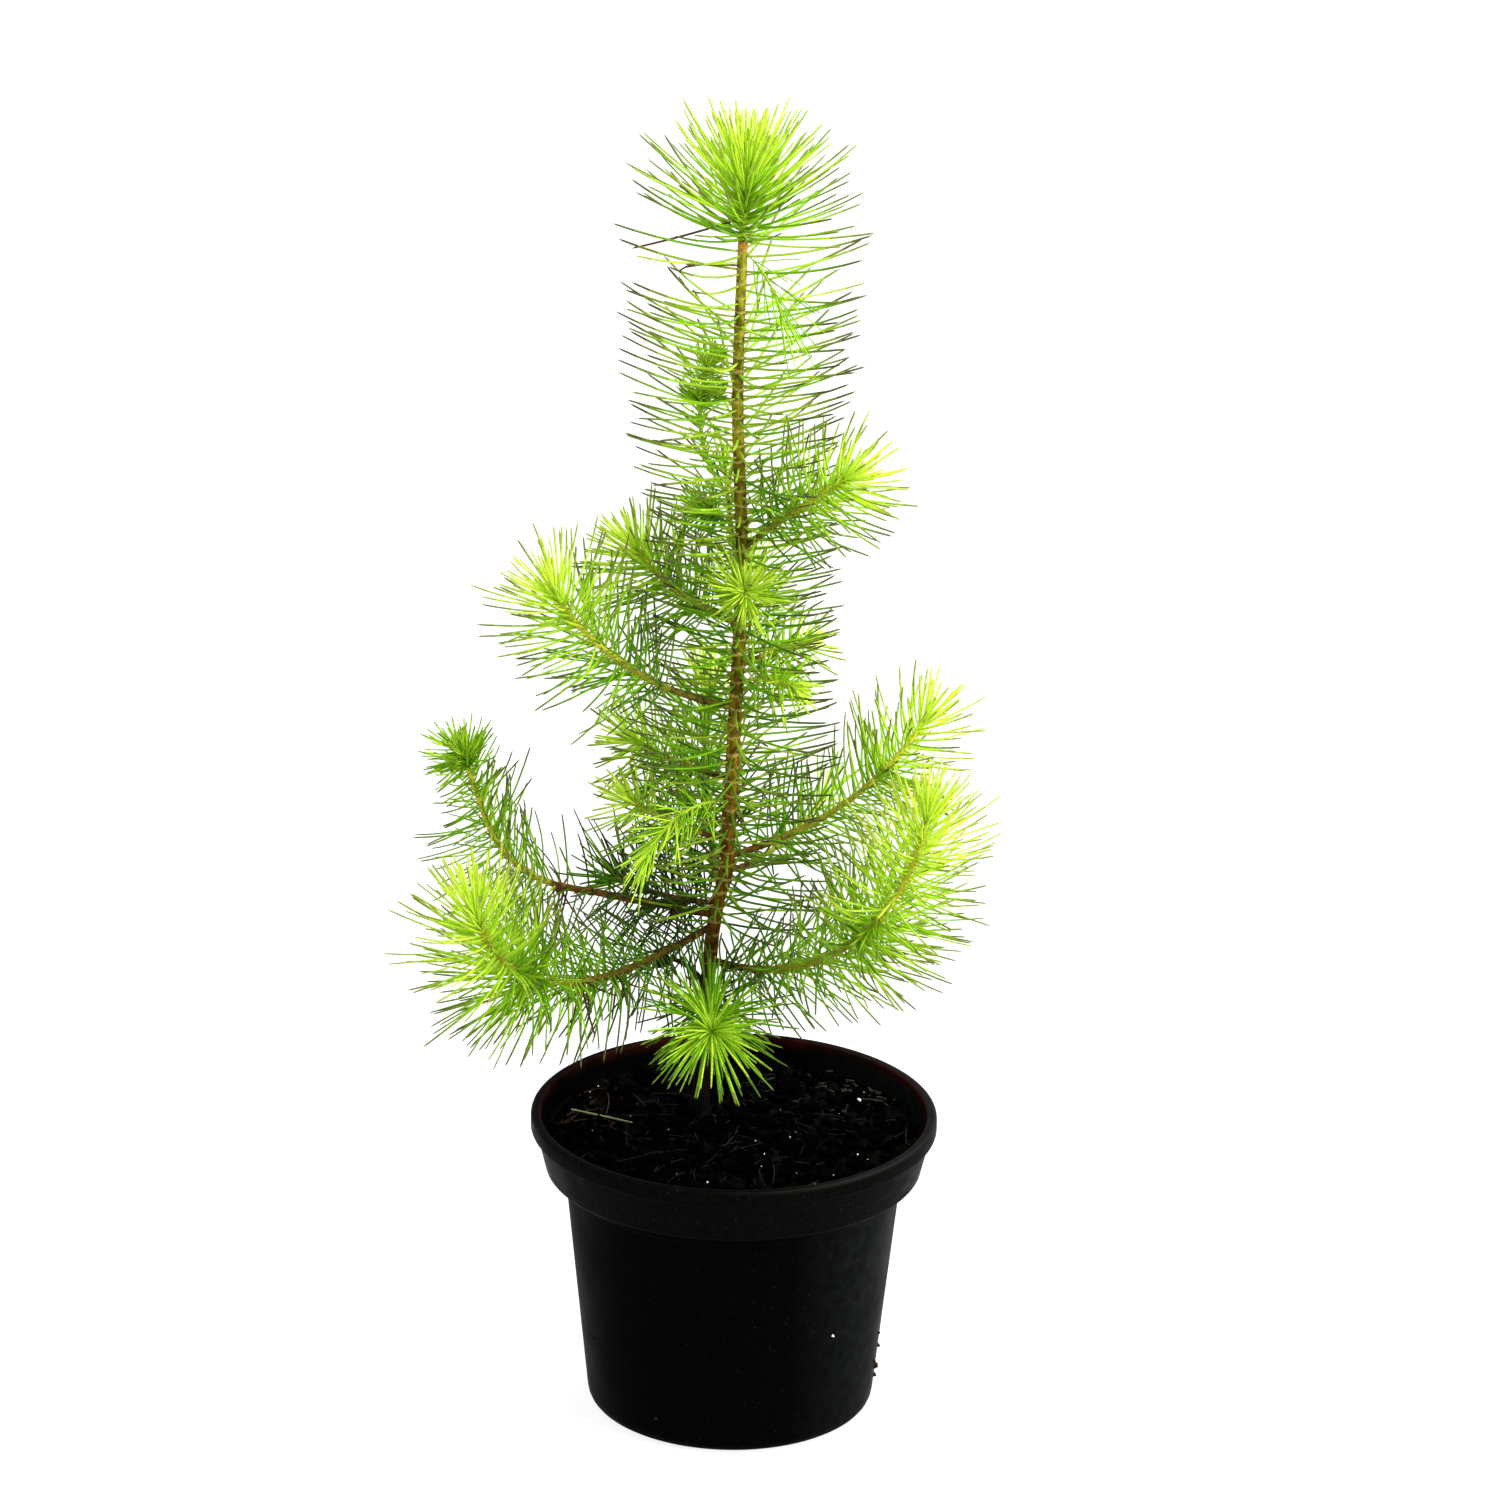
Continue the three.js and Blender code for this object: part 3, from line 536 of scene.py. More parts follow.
def needle_shares(stem):
    """Share of the green part at which each needle stands. They stand closer towards the tip. The
    whorl's needles follow, and then the fringe's, whose shares are below zero."""
    count = stem["needles"]
    middle, extra = stem["whorl"]
    back, few = stem["fringe"]
    even = (np.arange(count) + 0.5) / count
    crowded = 1 - (1 - even) ** stem["crowding"]
    whorl = middle + WHORL_SPREAD * jitter(np.arange(count, count + extra) + 0.17)
    fringe = -back * (np.arange(few) + 0.5) / max(few, 1)
    return np.concatenate([crowded, whorl, fringe])


# %% Grow the needles of one stem
NEEDLE_RADIUS = 0.35
# How far the needles stray: shares of their value, for the tone so many tints, and for the sway a
# share of the length.
RADIUS_JITTER = 0.12
LEAN_JITTER = 0.13
LENGTH_JITTER = 0.16
CURL_JITTER = 0.5
TONE_JITTER = 0.95
SWAY = 0.07
# A needle that points forward has this share of its length, and is soft above this cosine.
FORWARD_REACH = 0.42
SOFT_FORWARD = 0.78
# A half-grown needle has this share of its length. It is one whose chance is above the second
# value, on a stem that is more uneven than the third.
HALF_GROWN = 0.62
HALF_GROWN_ABOVE = 0.45
LEAST_UNEVEN = 0.5
# Past thin_from a needle is there where its chance is above this one.
THINNED = 0.35
FRINGE_AGE = 5
TONE_RISE = 1.15


def grow(stem):
    """Needle i stands at its share and its turn. What varies with the share is read from the stem's
    lists, and each needle strays from that by chances of its own, each with another shift of the
    seed. The fringe is the darkest."""
    share = needle_shares(stem)
    index = np.arange(len(share))
    point, along, side, across = stem["path"].at(mix(stem["start"], stem["end"], share))
    seed = stem["seed"] + index
    uneven = stem["uneven"]
    turn = needle_turn(stem, index)[:, None]
    outward = side * np.cos(turn) + across * np.sin(turn)
    lean = np.interp(share, *zip(*stem["openings"])) * (1 + LEAN_JITTER * uneven * jitter(seed + 0.31))
    back, way = stem["slant"]
    lean = np.radians(lean + back * outward @ np.array(way, float))[:, None]
    forward = np.cos(lean[:, 0])
    reach = np.interp(share, np.linspace(0, 1, len(stem["reach"])), stem["reach"])
    reach = reach * mix(FORWARD_REACH, 1, np.sin(lean[:, 0]) ** 2)
    half_grown = (jitter(seed + 0.23) > HALF_GROWN_ABOVE) & (uneven > LEAST_UNEVEN)
    reach = reach * np.where(half_grown, HALF_GROWN, 1.0)
    sway = np.stack([jitter(seed + shift) for shift in (0.13, 0.47, 0.83)], axis=1)
    curl = stem["curl"] * (1 + CURL_JITTER * jitter(seed + 0.57)[:, None])
    tone = mix(*stem["tone"], np.maximum(share, 0) ** TONE_RISE) + FRINGE_AGE * np.minimum(share, 0)
    there = (share < stem["thin_from"]) | (jitter(seed + 0.37) > THINNED)
    growth = {
        "root": point + outward * stem["core"],
        "heading": along * np.cos(lean) + outward * np.sin(lean),
        "bend": along * curl + SWAY * uneven * sway,
        "reach": reach * (1 + LENGTH_JITTER * uneven * jitter(seed + 0.67)),
        "tone": tone + stem["glow"] * forward**2 + TONE_JITTER * jitter(seed + 0.91),
        "olive": jitter(seed + 0.71) > stem["olive_above"],
        "radius": NEEDLE_RADIUS * stem["fine"] * (1 + RADIUS_JITTER * jitter(seed + 0.77)),
        "soft": (forward > SOFT_FORWARD) | (share > stem["soft_from"]),
    }
    return {key: value[there] for key, value in growth.items()}


# %% [markdown]
# A needle is kept only where it stays in its own stem's space and passes clear of the others. The
# test works on sampled points. A point on a needle may come nearer to another stem than to its own
# by no more than the interleave, and no point may lie in another stem's wood. A needle that fails is
# tried again shorter. The trunk and the leader are one line, so neither keeps clear of the other, and
# the first few millimetres of a limb don't count as wood, since they lie among the trunk's own needles.

# %% Keep the needles that fit
INTERLEAVE = 20.0
WOOD_CLEARANCE = 1.8
LOWEST_NEEDLE = 93.0
TRIMS = (1.0, 0.86, 0.72)
TEST_SHARES = (0.3, 0.55, 0.8, 1.0)
OWN_SPACE_FROM = 0.5
ONE_LINE = ("trunk", "leader")
STEM_ROOT = 6.0


def line_pieces(stem, first, step=5.0):
    """The stem's line from a distance on, as short straight pieces: their two ends."""
    marks = np.linspace(first, stem["end"], max(2, round((stem["end"] - first) / step)) + 1)
    points = stem["path"].at(marks)[0]
    return points[:-1], points[1:]


def distance_to(points, pieces):
    """Least distance from each point to a set of straight pieces."""
    start, end = pieces
    along = end - start
    away = points[:, None] - start
    share = np.clip((away * along).sum(-1) / (along**2).sum(-1), 0, 1)
    return np.linalg.norm(away - share[..., None] * along, axis=-1).min(axis=1)


def fits(stem, growth, wood, green):
    """True for each needle that stays in its own space and clear of the other stems' wood."""
    own = line_pieces(stem, stem["start"])
    good = np.ones(len(growth["reach"]), bool)
    for share in TEST_SHARES:
        points = needle_line(growth, share)
        good &= distance_to(points, wood) > WOOD_CLEARANCE
        good &= points[:, 2] > LOWEST_NEEDLE
        if share > OWN_SPACE_FROM:
            good &= distance_to(points, green) > distance_to(points, own) - INTERLEAVE
    return good


sprays = {}
for stem in stems:
    rest = [other for other in stems if other is not stem
            and not (stem["name"] in ONE_LINE and other["name"] in ONE_LINE)]
    roots = [0.0 if other["name"] in ONE_LINE else STEM_ROOT for other in rest]
    wood = [line_pieces(other, root) for other, root in zip(rest, roots)]
    green = [line_pieces(other, other["start"]) for other in rest]
    wood, green = (tuple(np.vstack(ends) for ends in zip(*rows)) for rows in (wood, green))
    growth = grow(stem)
    full = growth["reach"]
    kept = np.zeros(len(full), bool)
    for trim in TRIMS:
        attempt = dict(growth, reach=full * trim)
        new = fits(stem, attempt, wood, green) & ~kept
        growth["reach"] = np.where(new, full * trim, growth["reach"])
        kept |= new
    sprays[stem["name"]] = {key: value[kept] for key, value in growth.items()}
print("needles kept:", {name: len(spray["reach"]) for name, spray in sprays.items()})

# %% [markdown]
# ## The needle's own shape
#
# A young stone pine bears single needles, about 3 cm long and under 1 mm wide, a little flattened.
# The foot is pale, and the outer third turns duller and then dry towards the point. One needle has
# seven rings of five points. All needles of a tint are one mesh: the ring shape is multiplied out
# over every root, heading and length at once.

# %% Needle meshes as whole arrays
NEEDLE_SIDES = 5
RING_SHARES = np.array([0.0, 0.07, 0.28, 0.48, 0.66, 0.83, 0.96])
RING_WIDTHS = np.array([0.8, 1.0, 1.0, 1.0, 1.0, 0.95, 0.78])
# The finish between each ring and the next: 0 body, 1 foot, 2 outer part, 3 point.
RING_BANDS = np.array([1, 0, 0, 0, 2, 3])
SOFT_BANDS = np.array([1, 0, 0, 0, 0, 2])
FLATNESS = 0.86
# Added to the bend, so that a straight needle has a side too.
NUDGE = 1e-4


def tube_faces(rings, sides):
    """Quads between neighbouring rings, and triangles from the end rings to the two poles."""
    ring, turn = np.meshgrid(np.arange(rings - 1), np.arange(sides), indexing="ij")
    after = (turn + 1) % sides
    quads = np.stack([ring * sides + turn, (ring + 1) * sides + turn,
                      (ring + 1) * sides + after, ring * sides + after], axis=-1).reshape(-1, 4)
    turn = np.arange(sides)
    after = (turn + 1) % sides
    top = (rings - 1) * sides
    first = np.stack([turn, after, np.full(sides, rings * sides)], axis=-1)
    last = np.stack([top + after, top + turn, np.full(sides, rings * sides + 1)], axis=-1)
    return quads, np.vstack([first, last])


def needle_mesh(growth):
    """Points, faces and bands of many needles. Each ring is an oval square to the needle's heading."""
    count, rings = len(growth["reach"]), len(RING_SHARES)
    heading = unit(growth["heading"])
    wide = unit(np.cross(heading, growth["bend"] + NUDGE))
    thin = np.cross(wide, heading)
    angle = even_angles(NEEDLE_SIDES)
    oval = (wide[:, None] * np.cos(angle)[:, None]
            + thin[:, None] * np.sin(angle)[:, None] * FLATNESS)
    centres = np.stack([needle_line(growth, share) for share in RING_SHARES], axis=1)
    swell = growth["radius"][:, None, None, None] * RING_WIDTHS[:, None, None]
    body = (centres[:, :, None] + oval[:, None] * swell).reshape(count, -1, 3)
    poles = np.stack([centres[:, 0], needle_line(growth, 1.0)], axis=1)
    points = np.concatenate([body, poles], axis=1)
    quads, triangles = tube_faces(rings, NEEDLE_SIDES)
    shift = (np.arange(count) * points.shape[1])[:, None, None]
    soft = growth.get("soft", np.zeros(count, bool))
    along = np.repeat(np.where(soft[:, None], SOFT_BANDS, RING_BANDS), NEEDLE_SIDES, axis=1)
    ends = np.repeat(along[:, [0, -1]], NEEDLE_SIDES, axis=1)
    bands = np.concatenate([along.ravel(), ends.ravel()])
    faces = [(quads + shift).reshape(-1, 4), (triangles + shift).reshape(-1, 3)]
    return points.reshape(-1, 3), faces, bands


# %% [markdown]
# ## Tints of the needles
#
# Old needles near the trunk are dark, and this year's are a glowing yellow-green. Seven plain tints
# cover that range, and a needle takes the one nearest to its tone. Many of the needles on the trunk
# have turned to one of two olive tints instead. The wax on a needle makes its gloss uneven, which a
# noise on the roughness gives. The outer part leans to an olive brown, more so on old needles, and
# the foot leans to a pale yellow-green.

# %% Needle tints
# Each row is a name, the body's colour, how dry the outer part is, and the slot.
TINTS = [
    ("deep", (0.016, 0.050, 0.004), 0.45, "needles_dark"),
    ("forest", (0.036, 0.100, 0.005), 0.50, "needles_dark"),
    ("leaf", (0.070, 0.195, 0.004), 0.55, "needles_mid"),
    ("grass", (0.145, 0.345, 0.006), 0.55, "needles_mid"),
    ("fresh", (0.285, 0.515, 0.018), 0.50, "needles_fresh"),
    ("lime", (0.445, 0.665, 0.034), 0.42, "needles_bright"),
    ("new", (0.560, 0.750, 0.058), 0.34, "needles_bright"),
]
OLIVE_TINTS = [
    ("moss", (0.105, 0.175, 0.008), 0.60, "needles_mid"),
    ("olive", (0.250, 0.375, 0.020), 0.60, "needles_fresh"),
]
OLIVE_FROM = 3.5
OLIVE_AGE = 0.7
FOOT_COLOUR = np.array([0.50, 0.50, 0.08])
FOOT_SHARE = 0.45
OLD_POINT = np.array([0.030, 0.028, 0.012])
YOUNG_POINT = np.array([0.110, 0.115, 0.032])
POINT_DRYNESS = 1.6


def needle_finish(name, colour):
    """Waxy green: a plain colour with an uneven gloss."""
    return waxy(name, colour, specular=0.05, scale=260, glossy=0.4, dull=0.62)


def needle_finishes(name, colour, age, dryness):
    """The four plain tints along a needle: body, foot, outer part and point. age is 1 for the oldest
    needles and 0 for the youngest, and dryness is how far the outer part has gone to the dry colour."""
    body = np.array(colour)
    point = mix(YOUNG_POINT, OLD_POINT, age)
    return [
        needle_finish(f"needle_{name}", body),
        needle_finish(f"needle_{name}_foot", mix(body, FOOT_COLOUR, FOOT_SHARE)),
        needle_finish(f"needle_{name}_outer", mix(body, point, dryness)),
        needle_finish(f"needle_{name}_point", mix(body, point, min(1, POINT_DRYNESS * dryness))),
    ]


# %% Deal the needles out by tint
everything = {key: np.concatenate([spray[key] for spray in sprays.values()]) for key in sprays["trunk"]}
stem_number = np.repeat(np.arange(len(stems)), [len(spray["reach"]) for spray in sprays.values()])
tint_number = np.clip(np.round(everything["tone"]).astype(int), 1, len(TINTS)) - 1
olive_number = len(TINTS) + (everything["tone"] > OLIVE_FROM)
tint_number = np.where(everything["olive"], olive_number, tint_number)
all_tints = TINTS + OLIVE_TINTS
counts = np.zeros((len(stems), len(all_tints)), int)
np.add.at(counts, (stem_number, tint_number), 1)
main_tint = counts.argmax(axis=1)
for number, (name, colour, dryness, slot) in enumerate(all_tints):
    growth = {key: value[tint_number == number] for key, value in everything.items()}
    points, faces, bands = needle_mesh(growth)
    age = 1 - number / (len(TINTS) - 1) if number < len(TINTS) else OLIVE_AGE
    finishes = needle_finishes(name, colour, age, dryness)
    masses = [mass for stem, tint in zip(stems, main_tint) if tint == number for mass in stem["masses"]]
    settle(add_piece(f"needles_{name}", points, faces, finishes, bands), masses)

# %% [markdown]
# ## Bark with a cushion under every needle
#
# The skin of a young pine is not smooth. Each needle stands on a small cushion that runs down the
# stem below it, and where old needles fell the cushions stay as scars. A bump texture would leave
# the outline smooth, so the cushions are part of the mesh: the skin's radius is a function of the
# distance along the stem and the angle round it, and each needle raises it beside its own root.

# %% The skin of a stem
CUSHION_BELOW = 0.7
CUSHION_ABOVE = 0.3
CUSHION_WIDTH = 0.7
CUSHION_OFFSETS = 14


def cushions(stem, distance, angle, radius, start, count):
    """Height from 0 to 1 of the cushions on a skin. The needles near a point are those whose index
    is near the point's own, so only a few offsets are looked at."""
    spacing = (stem["end"] - start) / count
    nearest = np.round((distance - start) / spacing - 0.5)
    height = np.zeros_like(distance)
    for offset in range(-2, min(math.ceil(3 * CUSHION_BELOW / spacing), CUSHION_OFFSETS)):
        index = nearest + offset
        ahead = distance - (start + (index + 0.5) * spacing)
        around = (angle - needle_turn(stem, index) + math.pi) % (2 * math.pi) - math.pi
        fall = np.where(ahead > 0, CUSHION_ABOVE, CUSHION_BELOW)
        ridge = np.exp(-(ahead / fall) ** 2 - (around * radius / CUSHION_WIDTH) ** 2)
        height = np.maximum(height, ridge * ((index >= 0) & (index < count)))
    return height


def skin(path, start, end, rings, sides, radius):
    """A closed surface carried along a path. Its parameters are the distance along the path and the
    angle round it, and radius gives its height over the line from both. Each end closes on a pole."""
    distance, angle = np.meshgrid(np.linspace(start, end, rings), even_angles(sides), indexing="ij")
    point, _, side, across = path.at(distance[:, 0])
    outward = side[:, None] * np.cos(angle)[..., None] + across[:, None] * np.sin(angle)[..., None]
    body = point[:, None] + outward * radius(distance, angle)[..., None]
    points = np.vstack([body.reshape(-1, 3), point[[0]], point[[-1]]])
    return points, list(tube_faces(rings, sides))


def joined(parts):
    """Several pieces' points and faces as one."""
    shifts = np.cumsum([0] + [len(points) for points, _ in parts[:-1]])
    points = np.vstack([points for points, _ in parts])
    kinds = range(len(parts[0][1]))
    faces = [np.vstack([part[1][kind] + shift for part, shift in zip(parts, shifts)]) for kind in kinds]
    return points, faces


# %% [markdown]
# ## The trunk
#
# The wood tapers evenly, with a small flare where it enters the soil. Above the lowest limbs the
# cushions of the needles thicken it. Below them the bark is older: the scars have spread to scaly
# ridges. Its colour is a painted near-black shade at the foot, where the low sprays shade it, then
# goes from red-brown to olive at the top. The rims of the cushions are pale, so the mesh carries the
# cushions' height as an attribute for the colours. Thin pale rings every few millimetres are painted
# highlights that stand for the lit bases of needles crossing the trunk.

# %% Trunk surface
TRUNK_RINGS = 1100
TRUNK_SIDES = 36
BARK_FULL = 0.38
BARK_SWELLS_FROM = 120
BARK_SWELLS_OVER = 300
OLD_BARK = 0.2
YOUNG_CUSHION = 0.13
YOUNG_BARK_FROM = 136
YOUNG_BARK_OVER = 20
SCALE_SIZE = 2.6
SCALES_ROUND = 2.4
SCALE_HEIGHT = 1.8


def trunk_cushions(distance, angle, radius):
    """Height of the cushions on the trunk."""
    return cushions(trunk_stem, distance, angle, radius, trunk_stem["start"], trunk_stem["needles"])


def trunk_relief(distance, angle):
    """Radius of the trunk's skin: wood, young cushions above and old scales below."""
    height = distance + TRUNK_FOOT
    wood = trunk_radius(height)
    raised = trunk_cushions(distance, angle, wood + BARK_FULL)
    young = np.clip((height - YOUNG_BARK_FROM) / YOUNG_BARK_OVER, 0, 1)
    place = np.stack([np.cos(angle) * SCALES_ROUND, np.sin(angle) * SCALES_ROUND,
                      height / SCALE_HEIGHT], axis=-1)
    scales = np.abs(rumple(place, SCALE_SIZE, 11)) ** 0.7
    swell = np.clip((height - BARK_SWELLS_FROM) / BARK_SWELLS_OVER, 0, 1)
    bulge = BARK_FULL * np.sin(math.pi * swell) ** 0.5
    return wood + bulge + young * YOUNG_CUSHION * raised + (1 - young) * OLD_BARK * (1 - scales)


bark = finish("pine_bark", (0.12, 0.05, 0.02), roughness=0.85, specular=0.03)
points, faces = skin(trunk, 0, trunk.length, TRUNK_RINGS, TRUNK_SIDES, trunk_relief)
trunk_piece = add_piece("trunk_bark", points, faces, [bark])
settle(trunk_piece, ["trunk"])

# %% Trunk colours
CREST_COLOUR = (0.52, 0.42, 0.12, 1)
PAINTED_RING_TURNS = 70.0
# Colours by height. The first two stops are a painted near-black shade at the foot, under the low sprays;
# above them the bark runs from red-brown to olive.
BARK_AND_FOOT_SHADE_COLOURS = [
    (0.0, (0.002, 0.0015, 0.001)), (0.1, (0.012, 0.005, 0.002)), (0.19, (0.120, 0.046, 0.004)),
    (0.42, (0.185, 0.110, 0.007)), (0.51, (0.130, 0.105, 0.007)), (0.77, (0.160, 0.140, 0.009)),
    (0.985, (0.23, 0.22, 0.016)), (0.995, (0.40, 0.19, 0.03)),
]
grid = np.meshgrid(np.linspace(0, trunk.length, TRUNK_RINGS), even_angles(TRUNK_SIDES), indexing="ij")
crest = np.append(trunk_cushions(*grid, 2.0), [0.0, 0.0])
attribute = trunk_piece.data.attributes.new("crest", "FLOAT", "POINT")
attribute.data.foreach_set("value", crest.astype(np.float32))

level = distance_share(bark, (0, 0, 1), near=0.09, far=0.36)
patches = mottled(bark, 700, [(0.36, 0.32), (0.64, 1.45)], stretch=(1, 1, 0.4))
shade = blend(bark, "MULTIPLY", 1, ramp(bark, level, BARK_AND_FOOT_SHADE_COLOURS), patches)
rim = add_node(bark, "ShaderNodeAttribute", attribute_name="crest")
amount = ramp(bark, rim.outputs["Fac"], [(0.7, 0), (0.98, 0.35)])
crests = blend(bark, "MIX", amount, shade, CREST_COLOUR)
# Painted highlights: thin pale rings from a wave pattern, above the foot only, that stand for the lit bases
# of needles crossing the trunk.
wave = add_node(bark, "ShaderNodeTexWave", bands_direction="Z", Scale=PAINTED_RING_TURNS, Distortion=2.5,
                Detail=2.0, Detail_Scale=3.0)
connect(bark, stretched(bark, (1, 1, 1)), wave.inputs["Vector"])
rings = blend(bark, "MULTIPLY", 1, ramp(bark, wave.outputs["Fac"], [(0.90, 0), (0.985, 0.5)]),
              ramp(bark, level, [(0.14, 0), (0.24, 1)]))
drive(bark, "Base Color", blend(bark, "MIX", rings, crests, CREST_COLOUR))
bump(bark, scale=1600, strength=0.5, depth=0.0002, stretch=(1, 1, 0.35))
print("bark:", len(bark.node_tree.nodes), "nodes, cushions up to", round(float(crest.max()), 2))

# %% [markdown]
# ## The boughs and the green stems
#
# A limb is one tapering stem. Its bare inner stretch has brown bark with old cushions, redder on the
# low limbs than on the upper ones. The stretch that bears needles is younger: orange-brown, then
# olive, then yellow-green near the tip. The green stretches are joined into one piece with plain
# colours, each given to a share of the length.

# %% Bough surfaces
STEM_SIDES = 16
RING_STEP = 0.45
SKIN_FADE = 6
BOUGH_CUSHION = 0.26
SKIN_START = 0.3
STEM_TAPER = 0.62
POINT_STEEPNESS = 12
SKIN_THICKNESS = 0.06


def stem_skin(stem, start, end, rise):
    """The skin of a stretch of a limb: an even taper to a little over half, a short point at the tip,
    and over the wood the cushions of its needles, which fade out at both ends."""
    length = stem["end"] - stem["start"]
    first = stem["start"] - stem["bare"]
    along = round(stem["needles"] * (stem["end"] - first) / length)

    def radius(distance, angle):
        share = distance / stem["end"]
        wood = stem["radius"] * mix(1, STEM_TAPER, share)
        wood = wood * np.clip((1.02 - share) * POINT_STEEPNESS, 0.05, 1)
        raised = cushions(stem, distance, angle, wood + rise, first, along)
        thick = np.clip((distance - first) / SKIN_FADE, 0, 1)
        thick = thick * np.clip((stem["end"] - distance) / SKIN_FADE, 0.1, 1)
        return wood + thick * (SKIN_THICKNESS + rise * raised)

    rings = max(8, round((end - start) / RING_STEP))
    return skin(stem["path"], start, end, rings, STEM_SIDES, radius)


BOUGH_STOPS = (0.30, 0.48, 0.68)
RED_BROWN = ((0.032, 0.014, 0.004), (0.105, 0.047, 0.008), (0.22, 0.115, 0.016))
OLIVE_BROWN = ((0.024, 0.020, 0.004), (0.085, 0.070, 0.008), (0.20, 0.17, 0.018))
limbs = [stem for stem in stems if stem["bare"] > 0]
points, faces = joined([stem_skin(limb, SKIN_START, limb["bare"], BOUGH_CUSHION) for limb in limbs])
bough_bark = finish("bough_bark", (0.12, 0.05, 0.016), roughness=0.75, specular=0.08)
red, olive = (mottled(bough_bark, 500, list(zip(BOUGH_STOPS, colours)))
              for colours in (RED_BROWN, OLIVE_BROWN))
level = distance_share(bough_bark, (0, 0, 1), near=0.185, far=0.215)
drive(bough_bark, "Base Color", blend(bough_bark, "MIX", level, red, olive))
bump(bough_bark, scale=1500, strength=0.5, depth=0.00015)
boughs = add_piece("boughs_bark", points, faces, [bough_bark])
settle(boughs, [f"bough_{limb['name']}" for limb in limbs])

# %% Green stems
TWIG_COLOURS = [("twig_russet", (0.15, 0.090, 0.014)), ("twig_olive", (0.29, 0.28, 0.022)),
                ("twig_yellow", (0.54, 0.51, 0.04)), ("twig_green", (0.30, 0.48, 0.02))]
TWIG_CUSHION = 0.3
TWIG_OVERLAP = 0.6
TWIG_TONES = (2.9, 4.4)
TWIG_JITTER = 0.35
GREEN_BAND = 3

twig_parts = []
twig_bands = []
for stem in stems[:-1]:
    start = max(stem["bare"] - TWIG_OVERLAP, SKIN_START)
    twig_parts.append(stem_skin(stem, start, stem["end"], TWIG_CUSHION))
    index = np.arange(len(twig_parts[-1][1][0]))
    tone = mix(*stem["tone"], index / len(index)) - stem["russet"]
    band = np.digitize(tone + TWIG_JITTER * jitter(index + stem["seed"]), TWIG_TONES)
    twig_bands.append(np.full(len(index), GREEN_BAND) if stem["skin"] == "green" else band)
ends = [np.repeat([band[0], band[-1]], STEM_SIDES) for band in twig_bands]
finishes = [waxy(name, colour, specular=0.1, scale=400, glossy=0.45, dull=0.7)
            for name, colour in TWIG_COLOURS]
points, faces = joined(twig_parts)
twigs = add_piece("twigs_green", points, faces, finishes, np.concatenate(twig_bands + ends))
settle(twigs)

# %% [markdown]
# ## The dead stub
#
# Low on the left a short dead shoot ends in a black bud. The bud is a lump: a sphere whose radius is
# a function of both its angles, so that it looks like packed scales.

# %% Dead stub and its bud
STUB = dict(height=128, azimuth=213, sweep=0, rise=(60, 6), bend=1.5, length=22)
STUB_RADIUS = 0.9
STUB_TAPER = 0.6
RIDGES = 5
RIDGE_HEIGHT = 0.12
BUD_RADIUS = 2.9
BUD_HOLLOW = 0.82
BUD_SCALE = 0.16
BUD_RIDGES = 14
BUD_WINDING = 9


def lump(centre, size, rings, sides, radius):
    """A closed surface round a centre. Its parameters are the angle from the top and the angle
    round, and radius gives a factor of the size from the direction."""
    down, turn = np.meshgrid(np.linspace(0, math.pi, rings + 2)[1:-1], even_angles(sides), indexing="ij")
    way = np.stack([np.sin(down) * np.cos(turn), np.sin(down) * np.sin(turn), np.cos(down)], axis=-1)
    ways = np.vstack([way.reshape(-1, 3), [[0.0, 0, 1], [0, 0, -1]]])
    return centre + ways * size * radius(ways)[:, None], list(tube_faces(rings, sides))


def stub_radius(distance, angle):
    """An even taper with five shallow ridges that turn along it."""
    taper = STUB_RADIUS * mix(1, STUB_TAPER, distance / STUB["length"])
    return taper + RIDGE_HEIGHT * np.sin(RIDGES * angle + distance)


def bud_scales(ways):
    """Ridges that wind down over the bud: a sine of the angle round it and the height."""
    turn = np.arctan2(ways[:, 1], ways[:, 0])
    return BUD_HOLLOW + BUD_SCALE * np.abs(np.sin(BUD_RIDGES / 2 * turn + BUD_WINDING * ways[:, 2]))


stub_path = limb_path(STUB)
tip = stub_path.at(np.array([STUB["length"]]))[0]
points, faces = joined([skin(stub_path, SKIN_START, STUB["length"], rings=40, sides=12, radius=stub_radius),
                        lump(tip, BUD_RADIUS, rings=22, sides=28, radius=bud_scales)])
dead_wood = finish("dead_wood", (0.012, 0.008, 0.006), roughness=0.8, specular=0.3)
drive(dead_wood, "Base Color", mottled(dead_wood, 900, [
    (0.35, (0.008, 0.006, 0.005)), (0.7, (0.040, 0.018, 0.010)),
]))
bump(dead_wood, scale=2200, strength=0.4, depth=0.0001)
settle(add_piece("dead_stub_bud", points, faces, [dead_wood]), ["dead_stub"])

# %% [markdown]
# ## The pot
#
# A nursery pot is a thin moulded shell: a tapering body, a shoulder, a wider collar and a small lip.
# A profile turned round the axis gives it. The corners of the profile are rounded off, because a
# moulding has no sharp edge and the thin highlight along the lip comes from that rounding. The drain
# holes are cut by a Boolean modifier, since a hole crosses both faces of the floor.

# %% Turn a rounded profile
# Each row is a corner: its distance from the axis, its height, and the radius that rounds it.
POT_CORNERS = [
    (0, 0, 0), (42.1, 0, 5), (49.6, 71, 1.6), (55.5, 75, 1.8), (58.3, 86.6, 0.9), (60, 87.4, 0.8),
    (60, 92, 1.3), (57.0, 92, 1.0), (56.4, 85.5, 2.0), (53.6, 76, 1.6), (47.8, 72, 1.2),
    (40.4, 2, 4), (0, 2, 0),
]
ARC_STEPS = 7
POT_SIDES = 192


